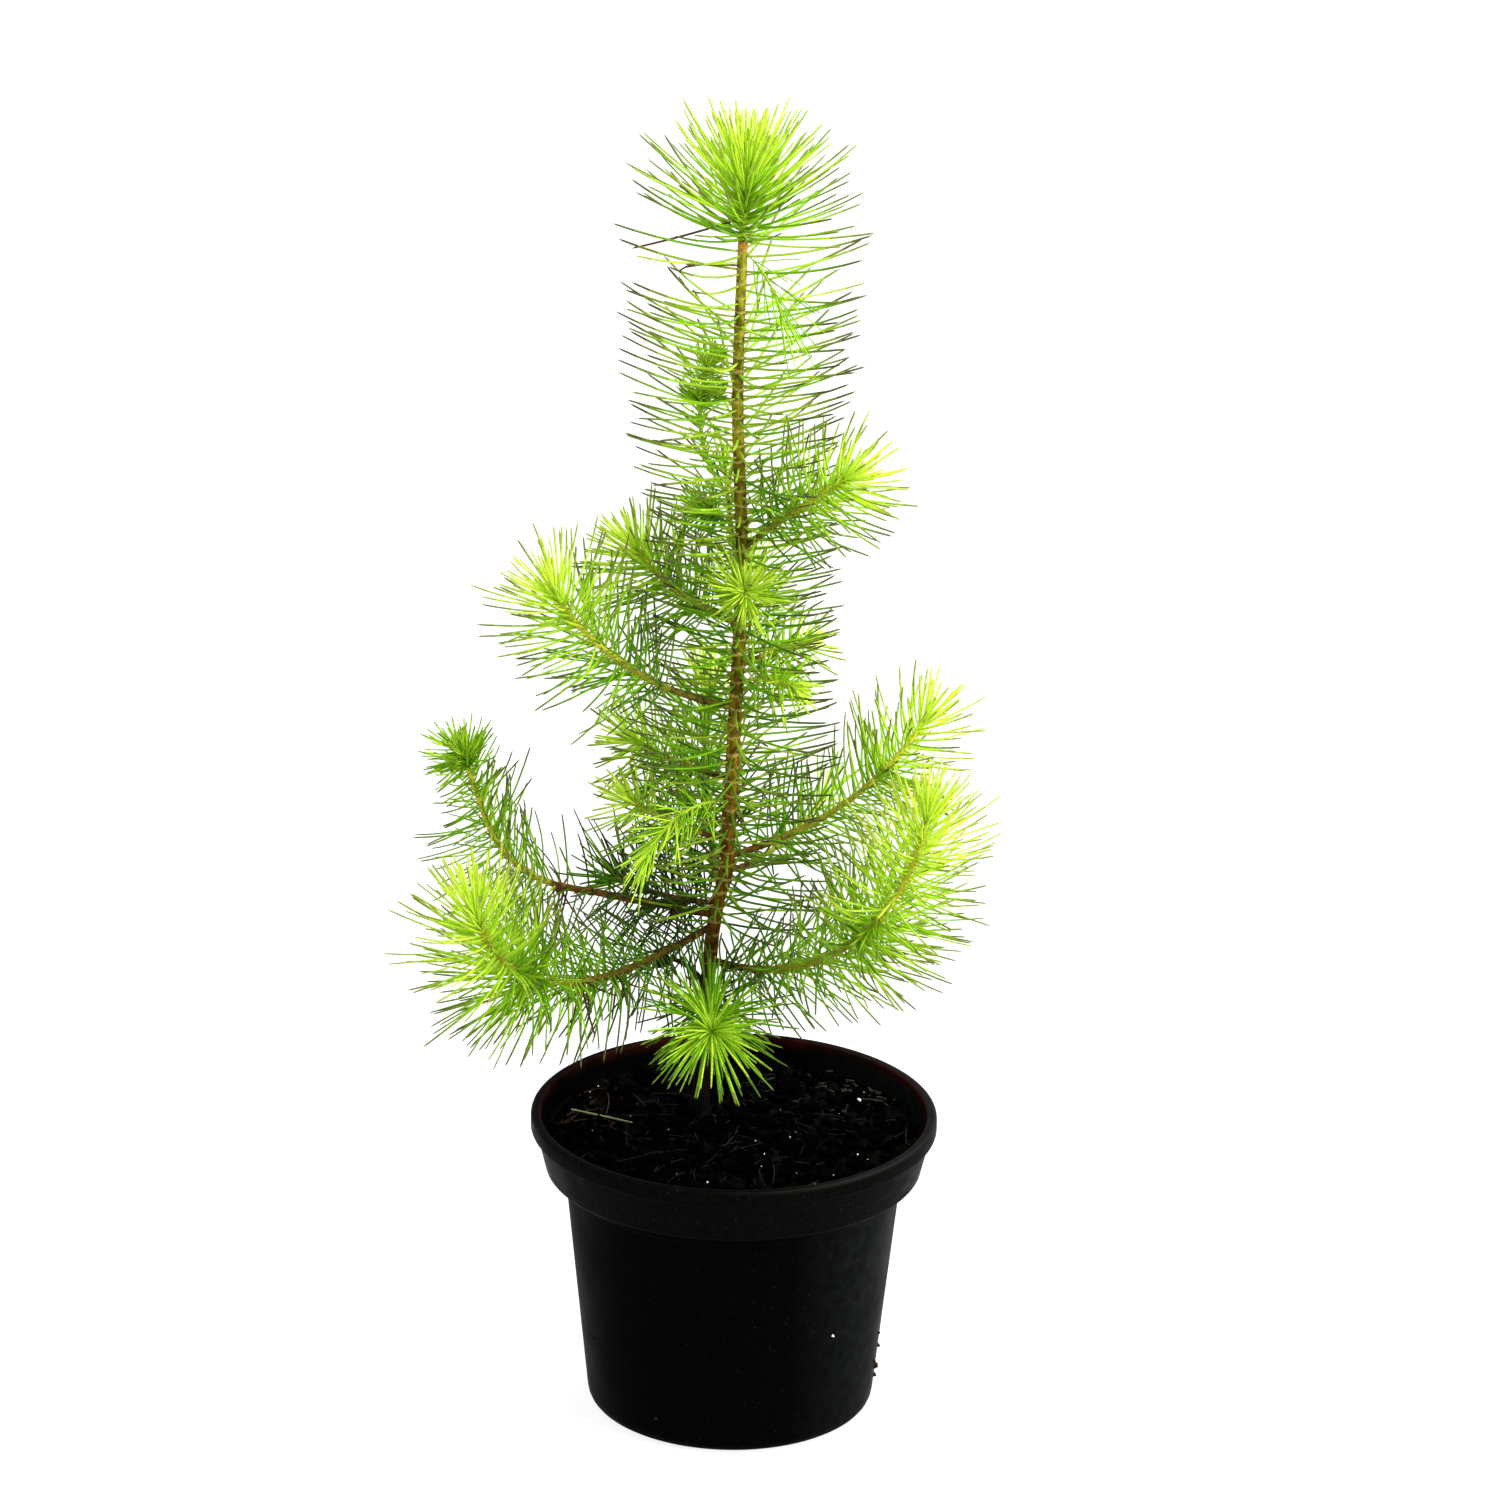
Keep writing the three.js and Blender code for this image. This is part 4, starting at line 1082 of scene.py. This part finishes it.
def rounded(corners):
    """An outline with its corners rounded. On each leg the curve starts where an arc of the corner's
    radius would touch it. It runs from one leg to the other as a quadratic curve that the corner
    pulls at."""
    outline = [np.array(corners[0][:2], float)]
    for before, corner, after in zip(corners, corners[1:], corners[2:]):
        here = np.array(corner[:2], float)
        back = unit(np.array(before[:2]) - here)
        ahead = unit(np.array(after[:2]) - here)
        half = math.acos(np.clip(back @ ahead, -1, 1)) / 2
        cut = corner[2] / math.tan(half)
        share = np.linspace(0, 1, ARC_STEPS)[:, None]
        leg_in, leg_out = here + back * cut, here + ahead * cut
        outline += list((1 - share) ** 2 * leg_in + 2 * share * (1 - share) * here + share**2 * leg_out)
    outline.append(np.array(corners[-1][:2], float))
    return np.array(outline)


def turned(radius, height, sides, low, high):
    """A closed surface turned round the axis: rings of a radius and a height, each height one number
    or one for each side, and a pole at each end."""
    angle = -even_angles(sides)
    rise = np.broadcast_to(height, (len(radius), sides))
    body = np.stack([radius[:, None] * np.cos(angle), radius[:, None] * np.sin(angle), rise], axis=-1)
    points = np.vstack([body.reshape(-1, 3), [[0, 0, low], [0, 0, high]]])
    return points, list(tube_faces(len(radius), sides))


def turned_outline(outline, sides):
    """The solid of revolution of an outline that starts and ends on the axis."""
    return turned(outline[1:-1, 0], outline[1:-1, 1:], sides, outline[0, 1], outline[-1, 1])


# %% Pot with its drain holes
DRAIN_HOLES = 6
DRAIN_RADIUS = 3.5
DRAIN_CIRCLE = 28.0
DRILL_SIDES = 24
DRILL_BOTTOM, DRILL_TOP = -3.0, 5.0
SHARP_ANGLE = math.radians(40)
BLACK = (0.0006, 0.0007, 0.0006)

pot_plastic = finish("pot_plastic", BLACK, roughness=0.36, specular=0.005)
pot = add_piece("pot_shell", *turned_outline(rounded(POT_CORNERS), POT_SIDES), [pot_plastic])
drill_outline = np.array([[0, DRILL_BOTTOM], [DRAIN_RADIUS, DRILL_BOTTOM],
                          [DRAIN_RADIUS, DRILL_TOP], [0, DRILL_TOP]])
drill_points, drill_faces = turned_outline(drill_outline, DRILL_SIDES)
drills = [(drill_points + DRAIN_CIRCLE * np.array([math.cos(turn), math.sin(turn), 0]), drill_faces)
          for turn in even_angles(DRAIN_HOLES)]
drill = add_piece("drain_drills", *joined(drills), [pot_plastic])
cut = pot.modifiers.new("drain_holes", "BOOLEAN")
cut.operation = "DIFFERENCE"
cut.solver = "EXACT"
cut.object = drill
ready = pot.evaluated_get(bpy.context.evaluated_depsgraph_get())
pot.data = bpy.data.meshes.new_from_object(ready)
pot.modifiers.clear()
bpy.data.objects.remove(drill)
pot.data.set_sharp_from_angle(angle=SHARP_ANGLE)
settle(pot, ["pot"])
print("pot faces after the holes:", len(pot.data.polygons))

# %% [markdown]
# Hands and other pots have scuffed the collar and the lip, so they shine a little more than the body.
# They get a finish of their own, dealt to the outer faces from the collar's foot up. Its colour
# also holds a painted highlight: the top of the lip is lighter towards the right.

# %% Collar faces
SKIN_DEPTH = 0.6
foot, top, lip = POT_CORNERS[3], POT_CORNERS[4], POT_CORNERS[6]
centres = np.empty(3 * len(pot.data.polygons), np.float32)
pot.data.polygons.foreach_get("center", centres)
centres = centres.reshape(-1, 3) / MM
wall = mix(foot[0], top[0], (centres[:, 2] - foot[1]) / (top[1] - foot[1]))
outer = np.linalg.norm(centres[:, :2], axis=1) > np.minimum(wall, lip[0]) - SKIN_DEPTH
collar = outer & (centres[:, 2] > foot[1] - 1)
collar_plastic = finish("collar_plastic", (0.0012, 0.0014, 0.0012), roughness=0.4, specular=0.008)
pot.data.materials.append(collar_plastic)
pot.data.polygons.foreach_set("material_index", collar.astype(np.int32))
print("collar faces:", int(collar.sum()))

# %% [markdown]
# The plastic is near black and satin. Recycled plastic is never even, so the gloss varies in broad
# clouds, and potting leaves pale dust in small flecks. Towards the right the body turns a bluish grey
# in splashes, partly dust and partly a painted sheen from the light on that side. Wet peat has left a
# red-brown film along the inside of the rim. Its mask is where a point is near the rim's height and
# not out on the lip.

# %% Pot finish
def side_share(material, near, far):
    """0 where the piece's own X is near and 1 where it is far, both in metres."""
    split = add_node(material, "ShaderNodeSeparateXYZ")
    connect(material, stretched(material, (1, 1, 1)), split.inputs["Vector"])
    share = add_node(material, "ShaderNodeMapRange", From_Min=near, From_Max=far)
    connect(material, split.outputs["X"], share.inputs["Value"])
    return share.outputs["Result"]


clouds = mottled(pot_plastic, 45, [(0.35, 0.34), (0.65, 0.50)], detail=5)
drive(pot_plastic, "Roughness", clouds)
flecks = mottled(pot_plastic, 1500, [(0.70, BLACK), (0.80, (0.012, 0.011, 0.009))], detail=1)
# Dust splashes mixed with a painted sheen: a bluish grey that grows towards the right side.
dust_splashes_and_sheen = mottled(pot_plastic, 330, [(0.36, 0.35), (0.72, 1)], detail=8)
dust_splashes_and_sheen = blend(pot_plastic, "MULTIPLY", 1, side_share(pot_plastic, near=0.018, far=0.042), dust_splashes_and_sheen)
dusted_and_sheened = blend(pot_plastic, "MIX", dust_splashes_and_sheen, flecks, (0.0060, 0.0074, 0.0070, 1))
rim_inside = blend(pot_plastic, "MULTIPLY", 1,
                   distance_share(pot_plastic, (0, 0, 1), near=0.0885, far=0.0912),
                   distance_share(pot_plastic, (1, 1, 0), near=0.0580, far=0.0573))
film = blend(pot_plastic, "MULTIPLY", 1, rim_inside,
             mottled(pot_plastic, 60, [(0.35, 0.1), (0.6, 1)]))
drive(pot_plastic, "Base Color", blend(pot_plastic, "MIX", film, dusted_and_sheened, (0.016, 0.003, 0.002, 1)))
bump(pot_plastic, scale=90, strength=0.12, depth=0.0006, detail=6)
print("pot plastic:", len(pot_plastic.node_tree.nodes), "nodes")

# %% Collar finish
scuffs = mottled(collar_plastic, 130, [(0.35, 0.36), (0.65, 0.52)], detail=6, stretch=(1, 1, 3))
drive(collar_plastic, "Roughness", scuffs)
dusty = mottled(collar_plastic, 900, [
    (0.3, (0.0008, 0.0010, 0.0008)), (0.66, (0.0020, 0.0022, 0.0018)), (0.78, (0.014, 0.012, 0.010)),
], detail=3)
# Painted highlight: a lighter grey on the top of the lip that grows towards the right, where the right-hand
# lamp falls.
lip_highlight = blend(collar_plastic, "MULTIPLY", 1,
             distance_share(collar_plastic, (0, 0, 1), near=0.0909, far=0.0919),
             side_share(collar_plastic, near=-0.005, far=0.035))
drive(collar_plastic, "Base Color", blend(collar_plastic, "MIX", lip_highlight, dusty, (0.008, 0.009, 0.008, 1)))
print("collar plastic:", len(collar_plastic.node_tree.nodes), "nodes")

# %% [markdown]
# ## The soil
#
# Peat fills the pot to a little under the lip. Its top is a polar grid whose height is a sum of
# coarse and fine waves. On it lie loose crumbs, white grains, reddish root fibres, straw and a fallen
# needle. Each kind is one joined mesh.

# %% Soil surface
SOIL_TOP = 86.4
SOIL_EDGE = 84.6
SOIL_RADIUS = 55.7
MOUND_RADIUS = 24.0
HEAP_HEIGHT = 1.5
HEAP_WIDTH = 6
CALM_EDGE = 3
LEAST_WAVES = 0.25
# Each row is the height of the waves, their length and the seed of their chance.
SOIL_WAVES = [(0.75, 17, 21), (0.5, 6, 22), (0.28, 2.6, 23)]
TRUNK_PLACE = np.array([-10.3, 8.0])
SOIL_RINGS = 96
SOIL_SIDES = 240
# Distance from the axis and height of the rings between the soil's flat underside and its top.
SOIL_WALL = np.array([[35.8, 2.4], [40.2, 6.4], [47.0, 72.6], [52.6, 76.6]])


def soil_height(place):
    """Height of the soil over points on the ground plan: a flat mound that falls to the edge, a
    small heap round the trunk, and waves of three sizes."""
    radius = np.linalg.norm(place, axis=-1)
    fall = np.clip((radius - MOUND_RADIUS) / (SOIL_RADIUS - MOUND_RADIUS), 0, 1)
    heap = HEAP_HEIGHT * np.exp(-(np.linalg.norm(place - TRUNK_PLACE, axis=-1) / HEAP_WIDTH) ** 2)
    spot = np.concatenate([place, np.zeros((*place.shape[:-1], 1))], axis=-1)
    waves = sum(height * rumple(spot, length, seed) for height, length, seed in SOIL_WAVES)
    calm = np.clip((SOIL_RADIUS - radius) / CALM_EDGE, LEAST_WAVES, 1)
    return mix(SOIL_TOP, SOIL_EDGE, fall) + heap + waves * calm


# The rings enclose even steps of area, from the edge in.
radius = SOIL_RADIUS * np.sqrt(np.linspace(1, 0.0004, SOIL_RINGS))
angle = -even_angles(SOIL_SIDES)
plan = np.stack([radius[:, None] * np.cos(angle), radius[:, None] * np.sin(angle)], axis=-1)
wall_height = np.broadcast_to(SOIL_WALL[:, 1:], (len(SOIL_WALL), SOIL_SIDES))
points, faces = turned(
    np.concatenate([SOIL_WALL[:, 0], radius]), np.vstack([wall_height, soil_height(plan)]),
    SOIL_SIDES, SOIL_WALL[0, 1], soil_height(np.zeros((1, 2)))[0],
)
peat = finish("peat", (0.001, 0.0008, 0.0006), roughness=0.95, specular=0.02)
drive(peat, "Base Color", mottled(peat, 420, [
    (0.35, (0.0005, 0.0004, 0.0003)), (0.62, (0.0009, 0.0007, 0.0005)), (0.78, (0.005, 0.003, 0.002)),
], detail=8))
bump(peat, scale=1400, strength=0.8, depth=0.0006, detail=8)
settle(add_piece("soil_peat", points, faces, [peat]), ["soil"])

# %% [markdown]
# Loose crumbs are copies of one small lump, each turned, stretched and dented by its own chance. A
# twelve-cornered lump is enough, since a crumb is a few pixels wide.

# %% A lump with twelve corners
def twelve_corners():
    """Corners and faces of a regular solid with twenty faces, whose edges are first 2 long."""
    golden = (1 + math.sqrt(5)) / 2
    flat = [(0, a, b * golden) for a in (-1, 1) for b in (-1, 1)]
    corners = np.array([np.roll(corner, turn) for turn in range(3) for corner in flat], float)
    gaps = np.linalg.norm(corners[:, None] - corners, axis=-1)
    near = np.isclose(gaps, 2)
    index = np.arange(len(corners))
    trios = np.array([(a, b, c) for a in index for b in index[a:] for c in index[b:]
                      if near[a, b] and near[b, c] and near[a, c]])
    first, second, third = (corners[trios[:, k]] for k in range(3))
    inward = (np.cross(second - first, third - first) * first).sum(-1) < 0
    trios[inward] = trios[inward][:, ::-1]
    return unit(corners), trios


CORNERS, TRIOS = twelve_corners()
print("lump:", len(CORNERS), "corners and", len(TRIOS), "faces")

# %% Crumbs and white grains
SMALL_BIAS = 2.5
STRETCHES = (0.55, 1.25)
DENTS = (0.72, 1.15)
CRUMB_EDGE = 1.6


def scatter(count, seed, smallest, largest, spread, sink):
    """Lumps lying on the soil. Their sizes lean to the small end, and each is sunk by a share."""
    chance = np.random.default_rng(seed)
    turns = np.linalg.qr(chance.normal(size=(count, 3, 3)))[0]
    size = mix(smallest, largest, chance.random(count) ** SMALL_BIAS)[:, None, None]
    stretch = chance.uniform(*STRETCHES, (count, 1, 3))
    dents = chance.uniform(*DENTS, (count, len(CORNERS), 1))
    shapes = (CORNERS * dents * stretch * size) @ turns
    flipped = np.linalg.det(turns) < 0
    place = spread(chance, count)
    level = soil_height(place) + size[:, 0, 0] * (1 - sink)
    points = shapes + np.column_stack([place, level])[:, None]
    faces = np.where(flipped[:, None, None], TRIOS[:, ::-1], TRIOS)
    faces = faces + (np.arange(count) * len(CORNERS))[:, None, None]
    return points.reshape(-1, 3), [faces.reshape(-1, 3)]


def all_over(chance, count):
    """Even over the disc of soil."""
    radius = (SOIL_RADIUS - CRUMB_EDGE) * np.sqrt(chance.random(count))
    turn = chance.uniform(0, 2 * math.pi, count)
    return np.column_stack([radius * np.cos(turn), radius * np.sin(turn)])


GRAIN_PLACES = np.array([
    (-12.7, -20.1), (4.3, -19.4), (16.6, -8.7), (-48.0, 25.0), (25.3, 46.0), (36.3, 24.8),
    (41.0, 32.0), (46.0, 26.0), (37.2, 22.8), (40.6, -3.5), (31.0, 12.0), (9.0, -20.0),
])


def grains_placed(chance, count):
    """At the places of the larger white grains."""
    return GRAIN_PLACES


crumb_peat = finish("crumb_peat", (0.0004, 0.0003, 0.0003), roughness=0.9, specular=0.005)
crumbs = scatter(2600, seed=31, smallest=0.35, largest=2.1, spread=all_over, sink=0.45)
settle(add_piece("soil_crumbs", *crumbs, [crumb_peat]))
large = scatter(len(GRAIN_PLACES), seed=32, smallest=0.45, largest=0.9, spread=grains_placed, sink=0.2)
fine = scatter(46, seed=33, smallest=0.2, largest=0.5, spread=all_over, sink=0.2)
white_grain = finish("white_grain", (0.62, 0.60, 0.55), roughness=0.7)
settle(add_piece("white_grains", *joined([large, fine]), [white_grain]))

# %% A grain and crumbs stuck on the wall
# Each row is the azimuth in degrees, the height and the size.
WALL_GRAIN = [(-49, 35.5, 0.55)]
WALL_CRUMBS = [
    (-4, 18.0, 0.8), (-7, 12.5, 1.0), (-3, 8.0, 0.9), (-12, 15.5, 0.6), (-9, 24.0, 0.5),
    (-31, 20.0, 0.4), (-40, 44.0, 0.4), (95, 30.0, 0.7), (160, 12.0, 0.8), (205, 26.0, 0.5),
    (240, 9.0, 0.6),
]
WALL_DENTS = 0.25
wall_foot, wall_top = POT_CORNERS[1], POT_CORNERS[2]


def stuck(rows):
    """Lumps on the outside of the wall, each half sunk into it."""
    parts = []
    for number, (azimuth, height, size) in enumerate(rows):
        radius = mix(wall_foot[0], wall_top[0], height / wall_top[1])
        turn = math.radians(azimuth)
        centre = np.array([radius * math.cos(turn), radius * math.sin(turn), height])
        dents = 1 + WALL_DENTS * jitter(np.arange(len(CORNERS)) + len(CORNERS) * number)
        parts.append((centre + CORNERS * size * dents[:, None], [TRIOS]))
    return joined(parts)


wall_crumb = finish("wall_crumb", (0.020, 0.008, 0.004), roughness=0.9, specular=0.05)
settle(add_piece("wall_grain", *stuck(WALL_GRAIN), [white_grain]))
settle(add_piece("wall_crumbs", *stuck(WALL_CRUMBS), [wall_crumb]))

# %% [markdown]
# Fibres, straw and the fallen needle are the needle's own shape again, thinner or thicker, lying
# almost flat with a bend of their own.

# %% Fibres, straw and a fallen needle
LITTER_EDGE = 4
WALL_GAP = 1
LITTER_STRAY = 0.35
LITTER_LEVEL = 0.3


def litter(count, seed, shortest, longest, centre, spread, lift, radius):
    """Thin pieces lying on the soil round a centre, without those that would cross the pot's wall."""
    chance = np.random.default_rng(seed)
    place = centre + chance.normal(size=(count, 2)) * spread
    far = np.linalg.norm(place, axis=1)
    place *= np.minimum(1, (SOIL_RADIUS - LITTER_EDGE) / far)[:, None]
    turn = chance.uniform(0, 2 * math.pi, count)
    climb = chance.uniform(0, lift, count)
    heading = np.column_stack([np.cos(turn), np.sin(turn), climb])
    bend = np.column_stack([chance.normal(size=(count, 2)) * LITTER_STRAY, -climb])
    root = np.column_stack([place, soil_height(place) + LITTER_LEVEL])
    growth = dict(root=root, heading=unit(heading), bend=bend, radius=np.full(count, radius),
                  reach=chance.uniform(shortest, longest, count))
    ends = np.stack([needle_line(growth, share) for share in (0.5, 1.0)])
    inside = (np.linalg.norm(ends[..., :2], axis=-1) < SOIL_RADIUS - WALL_GAP).all(axis=0)
    return {key: value[inside] for key, value in growth.items()}


# The numbers are the count, the seed, the shortest and longest length, the middle, the spread, the
# lift and the radius.
LITTER = [
    ("root_fibres", litter(60, 41, 8, 22, (-46, 12), 9, 0.25, 0.16), (0.030, 0.008, 0.004)),
    ("soil_fibres", litter(160, 42, 4, 14, (0, 0), 28, 0.3, 0.13), (0.005, 0.003, 0.002)),
    ("straw_bits", litter(46, 43, 2.5, 7, (33, 32), 9, 0.25, 0.35), (0.012, 0.009, 0.006)),
]
for name, growth, colour in LITTER:
    points, faces, _ = needle_mesh(growth)
    settle(add_piece(name, points, faces, [finish(name, colour, roughness=0.85, specular=0.2)]))

FALLEN_LIFT = 3.6
fallen_root = np.array([[-48.2, 8.0]])
fallen = dict(
    root=np.column_stack([fallen_root, soil_height(fallen_root) + FALLEN_LIFT]),
    heading=unit(np.array([[18.9, -10.0, 0.6]])), bend=np.array([[0.02, -0.05, 0.0]]),
    reach=np.array([20.5]), radius=np.array([0.27]),
)
points, faces, bands = needle_mesh(fallen)
fallen_tints = needle_finishes("fallen", (0.20, 0.26, 0.12), age=0.5, dryness=0.2)
settle(add_piece("fallen_needle", points, faces, fallen_tints, bands))

# %% [markdown]
# ## Dry needles
#
# A few old needles have died and hang on as thin brown curls: a tuft under the long bare limb on the
# left, some by the low limbs and on the trunk, and two near the top.

# %% Dry needles
# Each row is the stem, the distance along it, the number of needles and their length.
DRY_TUFTS = [
    ("low_left", 46, 14, 11), ("low_front_left", 36, 9, 11), ("low_front_left", 48, 8, 12),
    ("low_front_right", 16, 6, 12), ("low_left", 12, 5, 10), ("trunk", 100, 9, 7),
    ("low_left_twin", 12, 5, 12),
]
HANG = np.array([0, 0, 0.7])
DROOP = np.array([0, 0, 0.2])
TUFT_SPREAD = 1.2
TUFT_STRAY = 0.4
TUFT_CORE = 0.8
TUFT_LENGTHS = (0.35, 1.1)
SIDEWAYS = np.array([1, 1, 0.4])
DRY_RADIUS = 0.34


def dry_tuft(seed, name, distance, count, reach):
    """Curled needles round one place on a stem. They point outward, hang, and stray by chance."""
    path = next(stem["path"] for stem in stems if stem["name"] == name)
    chance = np.random.default_rng(seed)
    point, _, side, across = path.at(distance + chance.normal(size=count) * TUFT_SPREAD)
    turn = chance.uniform(0, 2 * math.pi, count)[:, None]
    outward = side * np.cos(turn) + across * np.sin(turn)
    heading = unit(outward * SIDEWAYS + TUFT_STRAY * chance.normal(size=(count, 3)) - HANG)
    return dict(root=point + outward * TUFT_CORE, heading=heading,
                bend=TUFT_STRAY * chance.normal(size=(count, 3)) - DROOP,
                reach=reach * chance.uniform(*TUFT_LENGTHS, count), radius=np.full(count, DRY_RADIUS))


# Two old needles by the leader's foot, one straight and one looped.
OLD_NEEDLES = dict(
    root=np.array([[-3.0, 0.5, 366.5], [-2.4, 0.5, 353.0]]),
    heading=np.array([[-1.0, 0.0, -0.36], [-2.3, 0.0, 0.15]]),
    bend=np.array([[0.0, 0.0, 0.06], [1.55, 0.0, -0.45]]),
    reach=np.array([30.0, 20.0]), radius=np.array([0.4, 0.4]),
)
tufts = [OLD_NEEDLES] + [dry_tuft(60 + number, *row) for number, row in enumerate(DRY_TUFTS)]
growth = {key: np.concatenate([tuft[key] for tuft in tufts]) for key in OLD_NEEDLES}
points, faces, _ = needle_mesh(growth)
dry_needles = needle_finish("needle_dry", (0.085, 0.035, 0.016))
settle(add_piece("needles_dry", points, faces, [dry_needles]))

# %% [markdown]
# ## Studio
#
# The plant stands on a plain pale floor under soft light. The floor is a mid grey that glows of its
# own, like a light table, up to just about white. So it runs into the white background, hides its
# shadow, and still doesn't swallow the thin needles. A large soft lamp above and behind lights the
# new growth through, one at the right warms the trunk, and the front stays dimmer, which keeps the
# black pot black.

# %% Floor, lamps and world
FLOOR_GREY = 0.18
FLOOR_GLOW = 0.86
FLOOR_HALF = 9000.0
FLOOR_LEVEL = -0.2
SKY_GLOW = 0.98


def lamp(name, place, target, size, power, colour):
    """A square soft lamp that faces a target."""
    data = bpy.data.lights.new(name, "AREA")
    data.size = size
    data.energy = power
    data.color = colour
    made = bpy.data.objects.new(name, data)
    made.location = place
    ahead, aside, up = np.array(target) - np.array(place)
    tilt = math.atan2(math.hypot(ahead, aside), -up)
    made.rotation_euler = (tilt, 0, math.atan2(aside, ahead) - math.pi / 2)
    bpy.context.scene.collection.objects.link(made)


floor_finish = finish("studio_floor", (FLOOR_GREY,) * 3, roughness=0.9, specular=0.0,
                      Emission_Color=(1, 1, 1, 1), Emission_Strength=FLOOR_GLOW)
floor_points = np.array([[x * FLOOR_HALF, y * FLOOR_HALF, FLOOR_LEVEL]
                         for x, y in ((-1, -1), (1, -1), (1, 1), (-1, 1))])
floor = add_piece("floor", floor_points, [np.array([[0, 1, 2, 3]])], [floor_finish])

lamp("soft_above", (0.4, 0.3, 1.7), (0, 0, 0.2), size=1.6, power=54, colour=(1, 1, 0.98))
lamp("soft_right", (1.3, -0.7, 0.95), (0, 0, 0.22), size=1.0, power=38, colour=(1, 0.98, 0.93))
lamp("soft_left", (-1.3, 0.2, 0.9), (0, 0, 0.22), size=1.0, power=4, colour=(0.94, 0.98, 1))

world = bpy.data.worlds.new("studio")
world.use_nodes = True
world.node_tree.nodes["Background"].inputs["Color"].default_value = (1, 1, 1, 1)
world.node_tree.nodes["Background"].inputs["Strength"].default_value = SKY_GLOW
bpy.context.scene.world = world
bpy.context.scene.view_settings.view_transform = "Standard"

# %% [markdown]
# ## Camera
#
# The photograph was taken with a long lens from about 21 degrees above level. Its place was worked
# out from the ovals of the pot's lip and foot.

# %% Camera
LENS = 194.86
CAMERA_DISTANCE = 2.4
CAMERA_RISE = math.radians(23.4)
LOOK_DOWN = math.radians(20.855)
ROLL = math.radians(0.9)
RIM_HEIGHT = 0.092
CAMERA_OFFSET = 0.00305

camera_data = bpy.data.cameras.new("camera")
camera_data.lens = LENS
camera_data.sensor_width = 36.0
camera_data.clip_end = 100.0
camera = bpy.data.objects.new("camera", camera_data)
camera.location = (CAMERA_OFFSET, -CAMERA_DISTANCE * math.cos(CAMERA_RISE),
                   RIM_HEIGHT + CAMERA_DISTANCE * math.sin(CAMERA_RISE))
camera.rotation_mode = "ZXY"
camera.rotation_euler = (math.pi / 2 - LOOK_DOWN, 0, ROLL)
bpy.context.scene.collection.objects.link(camera)
bpy.context.scene.camera = camera
print("camera at", [round(value, 3) for value in camera.location])
